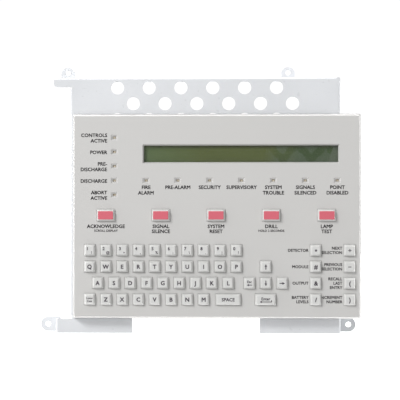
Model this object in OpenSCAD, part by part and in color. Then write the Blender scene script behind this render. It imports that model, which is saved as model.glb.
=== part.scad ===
// Operator assembly of a fire alarm control panel: a moulded keypad and display panel
// on a folded sheet-steel chassis, with the control board in the tray behind it.
// +X is to the operator's right, +Z is up and the front faces -Y. The origin is midway
// between the two lower mounting holes, on the chassis's rear plane.

/* [Chassis] */
// Depth of the tray, from the front sheet to the rear plane of the ears
tray_depth = 28; // [26:1:40]
// Thickness of the folded sheet steel
sheet_t = 1.2; // [1:0.1:1.4]
// Outer radius of the bends
bend_r = 1.8; // [1.6:0.1:2.2]
// Spacing of the two lower mounting holes
lower_ear_spacing = 248; // [247:0.5:252]
// Spacing of the two upper mounting holes
upper_ear_spacing = 182; // [160:1:190]
// Sideways place of the upper pair's middle
upper_ear_x = -16.5; // [-20:0.5:-10]
// Height of the upper mounting holes above the lower ones
ear_rise = 207.5; // [207:0.5:209]
// Diameter of the mounting holes
ear_hole_d = 4.5; // [4:0.1:5.5]
// Width of an upper mounting ear
ear_w = 11.2; // [10:0.2:12]
// Width of a lower mounting ear
lower_ear_w = 12; // [11:0.2:12.4]
// Diameter of the vent holes
vent_d = 10.7; // [8:0.1:11.5]
// Pitch of the vent holes along a row
vent_pitch = 25.7; // [25:0.1:26]

/* [Front housing] */
// Width of the housing at its rear rim
housing_w = 232; // [231:0.5:234]
// Height of the housing at its rear rim
housing_h = 165; // [164:0.5:166]
// Depth of the housing
housing_depth = 13; // [12.8:0.1:14]
// How much narrower the front face is on each side
face_inset = 2.3; // [1.5:0.1:2.6]
// Thickness of the moulded walls
wall_t = 2.5; // [2.2:0.1:2.6]
// Sideways place of the housing's middle
panel_x = 16.1; // [15.5:0.1:16.5]
// Height of the housing's middle above the lower mounting holes
panel_z = 89.3; // [89:0.1:90]

/* [Display] */
// Width of the clear part of the display window
window_w = 155; // [150:0.2:157]
// Height of the clear part of the display window
window_h = 13.2; // [13:0.2:15]
// Sideways place of the window on the housing
window_u = 19.6; // [19:0.1:20]
// Height of the window above the housing's middle
window_v = 49.8; // [49.5:0.1:50.5]
// Width of the bevel round the window
window_bevel = 1; // [0.8:0.1:2]

/* [Lamps] */
// Pitch of the lamps along the row
lamp_pitch = 25.4; // [25:0.1:25.5]
// Pitch of the lamps down the column
lamp_drop = 11.45; // [11:0.05:11.6]
// Diameter of a lamp
lamp_d = 3; // [2.6:0.1:3]

/* [Keys] */
// Pitch of the keys along a row
key_pitch_x = 13; // [12.9:0.05:13.1]
// Pitch of the key rows
key_pitch_z = 13.05; // [13:0.05:13.3]
// Size of a square key at the face of the housing
key_w = 9.4; // [9:0.1:9.8]
// Height of a key above the face
key_rise = 3.6; // [3:0.1:5]
// How far a key narrows on each side towards its top
key_taper = 1.2; // [0.6:0.1:1.4]
// Travel of a key
key_travel = 1.5; // [1:0.1:1.6]
// Width of a function button
button_w = 14.7; // [13:0.1:16]
// Height of a function button, measured up the panel
button_h = 9.7; // [9:0.1:10]
// Pitch of the function buttons
button_pitch = 44; // [43:0.25:44.5]

/* [Control board] */
// Width of the control board
board_w = 190; // [188:1:196]
// Height of the control board
board_h = 120; // [119:1:120]
// Length of the standoffs that carry the control board
standoff_l = 8; // [6:0.5:8.5]
// Thickness of every circuit board
pcb_t = 1.6; // [1.5:0.1:1.7]

/* [Hidden] */
$fn = 48;

// Planes, front to back
plate_y = -tray_depth;
face_y = plate_y - housing_depth;
plate_back_y = plate_y + sheet_t;
board_y = plate_back_y + standoff_l;
board_back_y = board_y + pcb_t;
// Depths below the face of the housing
panel_pcb_d = 9.7;
panel_pcb_back_d = panel_pcb_d + pcb_t;
mat_t = 1;
mat_d = panel_pcb_d - mat_t;

// Chassis outline
plate_left = -102.7;
plate_right = 115.8;
plate_top = 201.2;
arm_left = -115.7;
arm_bottom = 193.7;
arm_r = 2.8;
leg_left = -114;
leg_bottom = -5.2;
leg_top = 6.3;
leg_gap_left = -52.1;
leg_gap_right = 50.8;
leg_gap_top = 9;
relief = 1.6;
bend_in = bend_r - sheet_t;
top_ear_tip = 4.6;
side_ear_tip = 6;
vent_x = -64.1;
vent_z = 193;
vent_drop = 12.8;
vents_per_row = 6;
ribbon_slot = [34, 12];
ribbon_slot_at = [-74, 151];

// Screw places on the housing, from its middle
housing_screw_at = [for (u = [-104, -16, 92], v = [-75, 73.5]) [u, v]];
keypad_screw_at = [[-104, -13.5], [-22, -13.5], [66, -13.5], [66, -60], [105, 14.5], [-66.4, 14.5]];
display_screw_at = [for (a = [-1, 1], b = [-1, 1]) [window_u + a * 87.5, window_v + b * 14]];
screw_d = 2.9;
screw_bore = 3;
small_screw_d = 2.4;
small_screw_bore = 2.5;
boss_d = 5.6;

// Display module
bezel_size = [168, 26];
bezel_d = 4.1;
bezel_t = 0.5;
display_pcb = [182, 33.5];
window_t = 1.5;

// Lamps, from the housing's middle
lamp_u = -81.5;
lamp_v = 28.5;
lamp_at = concat(
    [for (n = [0:4]) [lamp_u, lamp_v + (3 - n) * lamp_drop]],
    [for (n = [1:7]) [lamp_u + n * lamp_pitch, lamp_v]]
);
lamp_well = [5.7, 4.6];
lamp_slot = [2.4, 1.7];
lamp_well_depth = 1.4;

// Keys: name, place from the housing's middle, width and height
first_key_u = -101;
first_row_v = -27.2;
function row_v(row) = first_row_v - (row - 1) * key_pitch_z;
function key_u(column) = first_key_u + column * key_pitch_x;
function plain_key(name, column, row) = [name, key_u(column), row_v(row), key_w, key_w];
digit_keys = [for (n = [0:9]) plain_key(str("key_", (n + 1) % 10), n, 1)];
upper_letters = [for (n = [0:9]) plain_key("upper_letter_keys", n, 2)];
middle_letters = [for (n = [0:8]) plain_key("middle_letter_keys", n + 0.5, 3)];
lower_letters = [for (n = [1:7]) plain_key("lower_letter_keys", n, 4)];
letter_rows = [upper_letters, middle_letters, lower_letters];
space_w = 20.7;
enter_w = 17.1;
other_keys = [
    plain_key("key_case", 0, 4),
    ["key_space", 9.5, row_v(4), space_w, key_w],
    plain_key("key_escape", 9.8, 3),
    plain_key("key_up", 10.8, 2),
    plain_key("key_down", 10.8, 3),
    plain_key("key_right", 11.8, 3),
    ["key_enter", 39.3, row_v(4), enter_w, key_w]
];
function_names = [
    ["key_star", "key_hash", "key_ampersand", "key_slash"],
    ["key_plus", "key_minus", "key_open_bracket", "key_close_bracket"]
];
function_u = [79.1, 105.9];
function_keys = [
    for (c = [0:1], r = [0:3]) [function_names[c][r], function_u[c], row_v(r + 1), key_w, key_w]
];
button_names = [
    "button_acknowledge", "button_silence", "button_reset", "button_drill", "button_lamp_test"
];
button_u = -0.2;
button_v = 0.7;
buttons = [
    for (n = [0:4])
        [button_names[n], button_u + (n - 2) * button_pitch, button_v, button_w, button_h]
];
single_keys = concat(digit_keys, other_keys, function_keys);
all_keys = concat(single_keys, upper_letters, middle_letters, lower_letters, buttons);
key_gap = 0.2;
key_wall = 1.2;
key_lip = 0.6;
key_lip_t = 0.8;
lip_gap = 0.05;
plunger_w = 3.2;
plunger_end_d = mat_d - key_travel - 0.2;
button_pad_w = 12.1;
button_pad_h = 6.6;
button_pad_t = 0.5;
button_rise = 3.6;

// Control board
board_x = 0;
board_z = 80;
standoff_at = [[-90, 25], [90, 25], [-90, 108], [90, 135], [-30, 135], [0, 66]];
standoff_d = 6;
terminal_pitch = 5.08;
terminal_ways = 6;
terminal_size = [terminal_ways * terminal_pitch, 14, 10];
terminal_x = [-60, -20, 20, 60];
terminal_z = 27;
header_size = [30, 5.2, 6.4];
ribbon_w = 26;
ribbon_t = 0.9;
ribbon_bend = 2;
board_header_z = 132;

// Places something on the housing: u right and v up from its middle, d below its face
module on_panel(u, v, d = 0) {
    translate([panel_x + u, face_y + d, panel_z + v]) children();
}

// Places something on the rear of the control board
module on_board(x, z) {
    translate([x, board_back_y, z]) children();
}

// A box centred on X and Z, from y = 0 back to y = t
module slab(w, t, h) {
    translate([-w / 2, 0, -h / 2]) cube([w, t, h]);
}

// A round bar from y = 0 back to y = l
module rod(d, l) {
    rotate([-90, 0, 0]) cylinder(d = d, h = l);
}

// The four corners of a rectangle on the plane y, from its lower left round by the right
function corners(w, h, y) =
    [[-w / 2, y, -h / 2], [w / 2, y, -h / 2], [w / 2, y, h / 2], [-w / 2, y, h / 2]];

// A frustum from w1 by h1 at y = 0 to w2 by h2 at y = t
module taper(w1, h1, w2, h2, t) {
    sides = [for (n = [0:3]) [n, (n + 1) % 4, (n + 1) % 4 + 4, n + 4]];
    polyhedron(
        concat(corners(w1, h1, 0), corners(w2, h2, t)),
        concat([[3, 2, 1, 0], [4, 5, 6, 7]], sides)
    );
}

// A flat sheet between two XZ corners, from y back by t
module sheet(x1, x2, z1, z2, y = plate_y, t = sheet_t) {
    translate([x1, y, z1]) cube([x2 - x1, t, z2 - z1]);
}

// A quarter bend along +Z about the origin, in the quadrant of +X and +Y
module bend_z(length, r) {
    intersection() {
        difference() {
            cylinder(r = r + sheet_t, h = length);
            translate([0, 0, -1]) cylinder(r = r, h = length + 2);
        }
        cube([r + sheet_t, r + sheet_t, length]);
    }
}

// The same bend along +X, in the quadrant of +Y and +Z
module bend_x(length, r) {
    rotate([90, 0, 90]) bend_z(length, r);
}

// An ear on the top flange: it turns up on the rear plane and ends round
module top_ear(x) {
    translate([x, 0, 0]) {
        translate([-ear_w / 2, -bend_r, plate_top + bend_in])
            mirror([0, 0, 1]) bend_x(ear_w, bend_in);
        ear_sheet(plate_top + bend_in, ear_rise + top_ear_tip);
    }
}

// The flat of an upright ear, from z1 up to its round end at z2
module ear_sheet(z1, z2) {
    dome = ear_w / 2;
    difference() {
        union() {
            translate([-dome, -sheet_t, z1]) cube([ear_w, sheet_t, z2 - dome - z1]);
            intersection() {
                translate([0, -sheet_t, z2 - dome]) rod(ear_w, sheet_t);
                translate([-dome, -sheet_t, z1]) cube([ear_w, sheet_t, 2 * ear_w]);
            }
        }
        translate([0, -sheet_t - 1, ear_rise]) rod(ear_hole_d, sheet_t + 2);
    }
}

// An ear beside a leg, for side = -1 on the left and 1 on the right
module side_ear(side, wall_x) {
    root = side * wall_x + bend_in;
    hole = lower_ear_spacing / 2;
    scale_x = side > 0 ? 0 : 1;
    mirror([scale_x, 0, 0]) difference() {
        union() {
            translate([root, -bend_r, -lower_ear_w / 2]) mirror([1, 0, 0]) bend_z(lower_ear_w, bend_in);
            sheet(root, hole + side_ear_tip - lower_ear_w / 2, -lower_ear_w / 2, lower_ear_w / 2, -sheet_t);
            translate([hole + side_ear_tip - lower_ear_w / 2, -sheet_t, 0]) rod(lower_ear_w, sheet_t);
        }
        translate([hole, -sheet_t - 1, 0]) rod(ear_hole_d, sheet_t + 2);
    }
}

// A side flange with its front bend, for side = -1 on the left and 1 on the right
module side_flange(side, wall_x, z1, z2) {
    inner = side > 0 ? wall_x - sheet_t : wall_x;
    translate([wall_x - side * bend_r, plate_y + bend_r, z1])
        mirror([side > 0 ? 0 : 1, 0, 0]) mirror([0, 1, 0]) bend_z(z2 - z1, bend_in);
    translate([inner, plate_y + bend_r, z1])
        cube([sheet_t, tray_depth - 2 * bend_r, z2 - z1]);
}

// The top flange with its front bend
module top_flange() {
    x2 = plate_right - bend_r;
    translate([arm_left, plate_y + bend_r, plate_top - bend_r])
        mirror([0, 1, 0]) bend_x(x2 - arm_left, bend_in);
    translate([arm_left, plate_y + bend_r, plate_top - sheet_t])
        cube([x2 - arm_left, tray_depth - 2 * bend_r, sheet_t]);
}

// The front sheet with its arm and its two legs
module front_sheet() {
    left = plate_left + bend_r;
    right = plate_right - bend_r;
    top = plate_top - bend_r;
    sheet(left, right, leg_gap_top, top);
    sheet(arm_left + arm_r, left, arm_bottom, top);
    sheet(arm_left, left, arm_bottom + arm_r, top);
    translate([arm_left + arm_r, plate_y, arm_bottom + arm_r]) rod(2 * arm_r, sheet_t);
    translate([right, plate_y, top]) rod(2 * bend_r, sheet_t);
    sheet(leg_left + bend_r, leg_gap_left, leg_bottom, leg_top);
    sheet(left, leg_gap_left, leg_top, leg_gap_top);
    sheet(leg_gap_right, right, leg_bottom, leg_gap_top);
}

// Vent holes in three staggered rows
module vents() {
    for (row = [0:2], n = [0:vents_per_row - 1])
        translate([
            vent_x + (n + (row % 2) / 2) * vent_pitch, plate_y - 1, vent_z - row * vent_drop
        ])
            rod(vent_d, sheet_t + 2);
}

module chassis() {
    color("gainsboro") difference() {
        union() {
            front_sheet();
            top_flange();
            side_flange(1, plate_right, leg_bottom, plate_top - bend_r);
            side_flange(-1, plate_left, leg_gap_top, arm_bottom - relief);
            side_flange(-1, leg_left, leg_bottom, lower_ear_w / 2);
            for (a = [-1, 1])
                top_ear(upper_ear_x + a * upper_ear_spacing / 2);
            side_ear(1, plate_right);
            side_ear(-1, leg_left);
        }
        vents();
        for (p = housing_screw_at)
            on_panel(p[0], p[1], housing_depth - 1) rod(screw_bore + 0.4, sheet_t + 2);
        for (p = standoff_at)
            translate([p[0], plate_y - 1, p[1]]) rod(4, sheet_t + 2);
        translate([ribbon_slot_at[0], plate_y - 1, ribbon_slot_at[1]])
            slab(ribbon_slot[0], sheet_t + 2, ribbon_slot[1]);
    }
}

// A screw boss standing on the inside of the housing's face, down to depth d
module boss(at, d, size) {
    on_panel(at[0], at[1], wall_t - 0.1) rod(size, d - wall_t + 0.1);
}

module front_housing() {
    face_w = housing_w - 2 * face_inset;
    face_h = housing_h - 2 * face_inset;
    color("lightgray") difference() {
        union() {
            difference() {
                on_panel(0, 0) taper(face_w, face_h, housing_w, housing_h, housing_depth);
                on_panel(0, 0, wall_t)
                    slab(face_w - 2 * wall_t, housing_depth, face_h - 2 * wall_t);
            }
            for (p = housing_screw_at)
                boss(p, housing_depth, boss_d);
            for (p = concat(keypad_screw_at, display_screw_at))
                boss(p, panel_pcb_d, boss_d);
        }
        for (p = housing_screw_at)
            on_panel(p[0], p[1], wall_t + 2) rod(screw_bore, housing_depth);
        for (p = concat(keypad_screw_at, display_screw_at))
            on_panel(p[0], p[1], wall_t + 2) rod(small_screw_bore, housing_depth);
        on_panel(window_u, window_v, -0.01)
            taper(window_w + 2 * window_bevel, window_h + 2 * window_bevel,
                window_w, window_h, wall_t + 0.02);
        for (p = lamp_at)
            lamp_well_at(p);
        for (k = all_keys)
            on_panel(k[1], k[2], -1) slab(k[3] + 2 * key_gap, wall_t + 2, k[4] + 2 * key_gap);
    }
}

// One bevelled lamp well with its slot through the wall
module lamp_well_at(at) {
    on_panel(at[0], at[1], -0.01)
        taper(lamp_well[0], lamp_well[1], lamp_slot[0], lamp_slot[1], lamp_well_depth);
    on_panel(at[0], at[1], 0) slab(lamp_slot[0], wall_t + 1, lamp_slot[1]);
}

module display_window() {
    color("whitesmoke", 0.4) on_panel(window_u, window_v, wall_t)
        slab(window_w + 8, window_t, window_h + 5);
}

module display_bezel() {
    depth = panel_pcb_d - bezel_d;
    color("dimgray") on_panel(window_u, window_v, bezel_d) difference() {
        slab(bezel_size[0], depth, bezel_size[1]);
        translate([0, bezel_t, 0])
            slab(bezel_size[0] - 2 * bezel_t, depth, bezel_size[1] - 2 * bezel_t);
        translate([0, -1, 0]) slab(window_w + 1.6, 3, window_h + 3);
    }
}

module display_cell() {
    color("olivedrab") on_panel(window_u, window_v, bezel_d + bezel_t)
        slab(bezel_size[0] - 3, 2.2, bezel_size[1] - 3);
}

module display_backlight() {
    front = bezel_d + bezel_t + 2.2;
    color("palegreen") on_panel(window_u, window_v, front)
        slab(bezel_size[0] - 3, panel_pcb_d - front, bezel_size[1] - 3);
}

module display_board() {
    color("darkgreen") difference() {
        on_panel(window_u, window_v, panel_pcb_d) slab(display_pcb[0], pcb_t, display_pcb[1]);
        for (p = display_screw_at)
            on_panel(p[0], p[1], panel_pcb_d - 1) rod(2.8, pcb_t + 2);
    }
}

module indicator_lamps() {
    tip_d = wall_t + 0.1;
    color("moccasin") for (p = lamp_at)
        on_panel(p[0], p[1], tip_d) {
            translate([0, lamp_d / 2, 0]) intersection() {
                sphere(d = lamp_d);
                translate([0, -lamp_d / 2, 0]) slab(lamp_d, lamp_d / 2, lamp_d);
            }
            translate([0, lamp_d / 2, 0]) rod(lamp_d, panel_pcb_d - tip_d - lamp_d / 2);
            translate([0, panel_pcb_d - tip_d - 1, 0]) rod(lamp_d + 0.8, 1);
        }
}

// The silicone sheet under the keys, with a collar round each key's plunger
module keymat() {
    left = -107.5;
    right = 111;
    bottom = -71.8;
    top = 6.5;
    color("silver") difference() {
        union() {
            on_panel((left + right) / 2, (bottom + top) / 2, mat_d)
                slab(right - left, mat_t, top - bottom);
            for (k = all_keys)
                on_panel(k[1], k[2], mat_d - 3.6) collar(8, 5.4, 3.7);
        }
        for (p = keypad_screw_at)
            on_panel(p[0], p[1], mat_d - 1) slab(boss_d + 1, mat_t + 2, boss_d + 1);
    }
}

// An eight-sided collar
module collar(outer, inner, l) {
    rotate([-90, 0, 0]) difference() {
        cylinder(d = outer, h = l, $fn = 8);
        translate([0, 0, -1]) cylinder(d = inner, h = l + 1, $fn = 8);
    }
}

// The L-shaped board that carries the lamps and the key contacts
module keypad_board() {
    left = -107.5;
    right = 111;
    bottom = -71.8;
    top = 32.2;
    tower_right = window_u - display_pcb[0] / 2 - 1;
    tower_top = 69;
    color("seagreen") difference() {
        union() {
            on_panel((left + right) / 2, (bottom + top) / 2, panel_pcb_d)
                slab(right - left, pcb_t, top - bottom);
            on_panel((left + tower_right) / 2, (top + tower_top) / 2, panel_pcb_d)
                slab(tower_right - left, pcb_t, tower_top - top + 0.02);
        }
        for (p = keypad_screw_at)
            on_panel(p[0], p[1], panel_pcb_d - 1) rod(2.8, pcb_t + 2);
    }
}

// A pan-head screw with its head behind y = 0 and its shank running forward
module screw(head_d, head_l, shank_d, shank_l) {
    difference() {
        rod(head_d, head_l);
        translate([0, head_l - 0.8, 0]) slab(head_d * 0.6, 1, head_d * 0.15);
        translate([0, head_l - 0.8, 0]) slab(head_d * 0.15, 1, head_d * 0.6);
    }
    translate([0, -shank_l, 0]) rod(shank_d, shank_l + 0.1);
}

module panel_screws() {
    color("silver") for (p = concat(keypad_screw_at, display_screw_at))
        on_panel(p[0], p[1], panel_pcb_back_d) screw(5, 1.4, small_screw_d, 6);
}

module housing_screws() {
    color("silver") for (p = housing_screw_at)
        on_panel(p[0], p[1], housing_depth + sheet_t) screw(5.6, 1.8, screw_d, 9);
}

module control_board() {
    color("forestgreen") difference() {
        translate([board_x, board_y, board_z]) slab(board_w, pcb_t, board_h);
        for (p = standoff_at)
            translate([p[0], board_y - 1, p[1]]) rod(3.4, pcb_t + 2);
    }
}

module standoffs() {
    color("goldenrod") for (p = standoff_at)
        translate([p[0], plate_back_y, p[1]]) difference() {
            union() {
                rotate([-90, 0, 0]) cylinder(d = standoff_d, h = standoff_l, $fn = 6);
                translate([0, -sheet_t, 0]) rod(3.98, sheet_t + 0.1);
            }
            translate([0, 1, 0]) rod(screw_bore, standoff_l);
        }
}

module board_screws() {
    color("silver") for (p = standoff_at)
        translate([p[0], board_back_y, p[1]]) screw(5.6, 1.8, screw_d, 6.5);
}

// The main ribbon runs from the keypad board back through the slot in the chassis, turns
// down and drops into the control board's connector. A short one joins the two panel boards.
module ribbon_cables() {
    start_y = face_y + panel_pcb_back_d + header_size[1];
    drop_y = board_back_y + 8;
    bend_y = drop_y - ribbon_bend - ribbon_t;
    x = ribbon_slot_at[0];
    z = ribbon_slot_at[1];
    z_low = board_header_z + header_size[2] / 2;
    color("lightslategray") {
        translate([x, start_y, z]) slab(ribbon_w, bend_y - start_y + 0.01, ribbon_t);
        translate([x - ribbon_w / 2, bend_y, z - ribbon_t / 2 - ribbon_bend])
            ribbon_turn();
        translate([x, drop_y - ribbon_t, (z + z_low - ribbon_t / 2 - ribbon_bend) / 2])
            slab(ribbon_w, ribbon_t, z - ribbon_t / 2 - ribbon_bend - z_low + 0.02);
        on_panel(window_u - display_pcb[0] / 2 - 0.5, window_v, panel_pcb_back_d)
            slab(12, ribbon_t, 16);
    }
}

// The ribbon's quarter turn, about an axis along X
module ribbon_turn() {
    outer = ribbon_bend + ribbon_t;
    rotate([90, 0, 90]) intersection() {
        difference() {
            cylinder(r = outer, h = ribbon_w);
            translate([0, 0, -1]) cylinder(r = ribbon_bend, h = ribbon_w + 2);
        }
        cube([outer, outer, ribbon_w]);
    }
}

module ribbon_connectors() {
    plug_y = board_back_y + 8 - ribbon_t - 2;
    color("dimgray") {
        on_panel(ribbon_slot_at[0] - panel_x, ribbon_slot_at[1] - panel_z, panel_pcb_back_d)
            slab(header_size[0], header_size[1], header_size[2]);
        translate([ribbon_slot_at[0], board_back_y, board_header_z])
            slab(header_size[0], plug_y + 5 - board_back_y, header_size[2]);
    }
}

module processor() {
    color("darkslategray") on_board(-8, 92) slab(28, 3.6, 28);
}

module logic_chips() {
    color("darkslategray") {
        for (n = [0:2])
            on_board(28 + n * 15, 96) slab(9, 3, 26);
        on_board(-8, 116) slab(20, 3, 8);
        on_board(30, 122) slab(24, 3, 8);
        on_board(-36, 104) slab(11, 3.5, 5);
    }
}

module field_terminals() {
    pitch = terminal_pitch;
    first = -(terminal_ways - 1) / 2 * pitch;
    color("mediumseagreen") for (x = terminal_x)
        on_board(x, terminal_z) difference() {
            slab(terminal_size[0], terminal_size[1], terminal_size[2]);
            for (n = [0:terminal_ways - 1]) {
                translate([first + n * pitch, 3, -terminal_size[2] / 2 - 1]) slab(3.6, 4, 14);
                translate([first + n * pitch, terminal_size[1] - 4, 0.5]) rod(3.8, 5);
            }
        }
}

module relays() {
    color("black") for (n = [0:2])
        on_board(-72 + n * 23, 50) slab(19, 15, 15.5);
}

module capacitors() {
    color("midnightblue") {
        for (n = [0:3])
            on_board(24 + n * 13, 66) rod(10, 14);
        on_board(78, 88) rod(13, 15);
    }
}

// A finned heat sink with the regulator's tab against its base
module heat_sink() {
    color("darkgray") on_board(-64, 84) {
        slab(44, 2.5, 26);
        for (n = [0:6])
            translate([-21 + n * 7, 0, 0]) slab(1.4, 14, 26);
    }
}

module cell_holder() {
    color("black") on_board(78, 114) difference() {
        rod(24, 5);
        translate([0, 1, 0]) rod(20.4, 5);
        translate([0, 1.5, -13]) slab(9, 5, 8);
    }
}

module backup_cell() {
    color("silver") on_board(78, 114) translate([0, 1, 0]) rod(20, 3.2);
}

module sounder() {
    color("black") on_board(-62, 112) difference() {
        rod(20, 9);
        translate([0, 6, 0]) rod(3, 5);
    }
}

// Two glass fuses, each in a pair of clips
module fuses() {
    color("lightsteelblue") for (z = [46, 56])
        on_board(72, z) {
            translate([-10, 5, 0]) rotate([0, 90, 0]) cylinder(d = 5.2, h = 20);
            for (a = [-1, 1])
                translate([a * 7.5, 0, 0]) slab(4, 5, 6.4);
        }
}

// A hollow key with a retaining lip behind the face and a plunger for its contact
module key_shape(w, h, rise, narrowing) {
    lip_d = wall_t + lip_gap;
    back_d = lip_d + key_lip_t;
    difference() {
        union() {
            mirror([0, 1, 0]) taper(w, h, w - 2 * narrowing, h - 2 * narrowing, rise);
            slab(w, back_d, h);
            translate([0, lip_d, 0]) slab(w + 2 * key_lip, key_lip_t, h + 2 * key_lip);
        }
        translate([0, key_wall + narrowing - rise, 0])
            slab(w - 2 * key_wall - 2 * narrowing, rise + back_d, h - 2 * key_wall - 2 * narrowing);
    }
    translate([0, key_wall - rise, 0]) slab(plunger_w, plunger_end_d + rise - key_wall, plunger_w);
}

// One key at rest, from its entry in the list
module key(k) {
    on_panel(k[1], k[2]) key_shape(k[3], k[4], key_rise, key_taper);
}

// One wide function button with its coloured pad on top
module button(k) {
    on_panel(k[1], k[2]) {
        key_shape(k[3], k[4], button_rise, key_taper);
        translate([0, -button_rise - button_pad_t, 0])
            slab(button_pad_w, button_pad_t + 0.5, button_pad_h);
    }
}

chassis();
front_housing();
display_window();
display_bezel();
display_cell();
display_backlight();
display_board();
indicator_lamps();
keymat();
keypad_board();
panel_screws();
housing_screws();
control_board();
standoffs();
board_screws();
ribbon_cables();
ribbon_connectors();
processor();
logic_chips();
field_terminals();
relays();
capacitors();
heat_sink();
backup_cell();
cell_holder();
sounder();
fuses();
for (k = single_keys)
    color("white") key(k);
for (row = letter_rows, k = row)
    color("white") key(k);
for (k = buttons)
    color("indianred") button(k);
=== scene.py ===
"""Builds the looks of a fire alarm control panel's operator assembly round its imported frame."""

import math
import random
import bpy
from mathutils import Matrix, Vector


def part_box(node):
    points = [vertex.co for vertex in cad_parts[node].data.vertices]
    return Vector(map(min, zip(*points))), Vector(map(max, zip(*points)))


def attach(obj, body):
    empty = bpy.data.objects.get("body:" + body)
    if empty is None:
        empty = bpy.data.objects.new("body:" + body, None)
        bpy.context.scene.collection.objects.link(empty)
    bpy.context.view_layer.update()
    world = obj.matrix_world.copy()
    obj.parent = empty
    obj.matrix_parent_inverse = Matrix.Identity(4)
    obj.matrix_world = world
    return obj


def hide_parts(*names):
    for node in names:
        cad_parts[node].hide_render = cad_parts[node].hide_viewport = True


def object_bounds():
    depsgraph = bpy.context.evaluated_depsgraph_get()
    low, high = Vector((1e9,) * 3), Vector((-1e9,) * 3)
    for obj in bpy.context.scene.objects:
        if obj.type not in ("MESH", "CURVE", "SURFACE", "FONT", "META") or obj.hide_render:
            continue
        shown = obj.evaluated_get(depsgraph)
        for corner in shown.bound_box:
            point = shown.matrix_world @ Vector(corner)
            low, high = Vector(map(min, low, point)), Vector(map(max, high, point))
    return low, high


bl_info = {
    "name": "Fire alarm control panel",
    "version": (1, 0, 0),
    "blender": (4, 5, 0),
    "location": "3D View > Sidebar > Fire panel",
    "description": "Operator assembly of a fire alarm control panel, with working keys",
    "category": "Object",
}

import bmesh
import bpy
from bpy.props import FloatProperty, FloatVectorProperty, PointerProperty
from bpy.types import Operator, Panel, PropertyGroup
from mathutils import Matrix, Vector
from mathutils.geometry import tessellate_polygon

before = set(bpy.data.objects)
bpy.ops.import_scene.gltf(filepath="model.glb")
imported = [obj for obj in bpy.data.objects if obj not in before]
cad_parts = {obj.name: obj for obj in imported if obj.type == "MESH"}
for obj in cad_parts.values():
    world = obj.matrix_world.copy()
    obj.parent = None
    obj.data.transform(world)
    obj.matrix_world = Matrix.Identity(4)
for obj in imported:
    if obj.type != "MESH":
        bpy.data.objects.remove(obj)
cad_low, cad_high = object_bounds()

MM = 0.001
STATIC_BODY = "panel"

# The moulding's sections, which the frame's boxes don't show
WALL = 2.5 * MM
FACE_INSET = 2.3 * MM
HOLE_GAP = 0.14 * MM
WINDOW_BEVEL = 1.0 * MM
WINDOW_EDGE = Vector((4, 2.5)) * MM
LAMP_WELL = Vector((5.7, 4.6)) * MM
LAMP_SLOT = Vector((2.4, 1.7)) * MM
LAMP_WELL_DEPTH = 1.4 * MM
BOSS_D = 5.6 * MM
SCREW_BORE = 3 * MM

# A key's sections, the same for every key
LIP = 0.6 * MM
LIP_FRONT = 2.55 * MM
LIP_BACK = 3.35 * MM
TAPER = 1.2 * MM
KEY_WALL = 1.2 * MM
PLUNGER = 3.2 * MM
PAD_T = 0.5 * MM
PAD_MARGIN = Vector((2.6, 3.1)) * MM

LETTER_ROWS = {
    "upper_letter_keys": "QWERTYUIOP",
    "middle_letter_keys": "ASDFGHJKL",
    "lower_letter_keys": "ZXCVBNM",
}
SHIFTED = {
    "1": "!",
    "2": "@",
    "3": "*",
    "4": ",",
    "5": "%",
    "6": ";",
    "7": "\\",
    "8": ".",
    "9": "|",
    "0": "?",
}
SYMBOL_KEYS = {
    "key_hash": "#",
    "key_ampersand": "&",
    "key_slash": "/",
    "key_open_bracket": "(",
    "key_close_bracket": ")",
}
COLUMN_CAPTIONS = [
    ("CONTROLS", "ACTIVE"),
    ("POWER",),
    ("PRE-", "DISCHARGE"),
    ("DISCHARGE",),
    ("ABORT", "ACTIVE"),
]
ROW_CAPTIONS = [
    ("FIRE", "ALARM"),
    ("PRE-ALARM",),
    ("SECURITY",),
    ("SUPERVISORY",),
    ("SYSTEM", "TROUBLE"),
    ("SIGNALS", "SILENCED"),
    ("POINT", "DISABLED"),
]
BUTTON_CAPTIONS = {
    "button_acknowledge": ("ACKNOWLEDGE", "", "SCROLL DISPLAY"),
    "button_silence": ("SIGNAL", "SILENCE", ""),
    "button_reset": ("SYSTEM", "RESET", ""),
    "button_drill": ("DRILL", "", "HOLD 2 SECONDS"),
    "button_lamp_test": ("LAMP", "TEST", ""),
}
KEY_CAPTIONS = {
    "key_star": ("DETECTOR",),
    "key_hash": ("MODULE",),
    "key_ampersand": ("OUTPUT",),
    "key_slash": ("BATTERY", "LEVELS"),
    "key_plus": ("NEXT", "SELECTION"),
    "key_minus": ("PREVIOUS", "SELECTION"),
    "key_open_bracket": ("RECALL", "LAST", "ENTRY"),
    "key_close_bracket": ("INCREMENT", "NUMBER"),
}


def length(text, value, description):
    """A size in metres that a user may change, given in millimetres."""
    return FloatProperty(name=text, description=description, default=value * MM, unit="LENGTH", precision=5)


def share(text, value, description, top=1.0):
    """A plain number from nothing to top."""
    return FloatProperty(name=text, description=description, default=value, min=0.0, max=top)


def colour(text, value, description):
    """A colour given in the usual 0 to 255 of a screen."""
    linear = [((c / 255 + 0.055) / 1.055) ** 2.4 for c in value]
    return FloatVectorProperty(
        name=text, description=description, default=linear, subtype="COLOR", min=0.0, max=1.0
    )


class HousingLooks(PropertyGroup):
    """Sizes and colours of the moulded front housing."""

    edge: length("Edge radius", 0.4, "Rounding between the face and the sides")
    corner: length("Corner radius", 0.5, "Rounding of the face's four corners")
    rim: length("Opening edge", 0.06, "Chamfer round the openings in the face")
    plastic: colour("Plastic", (203, 202, 200), "Colour of the housing")


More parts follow.
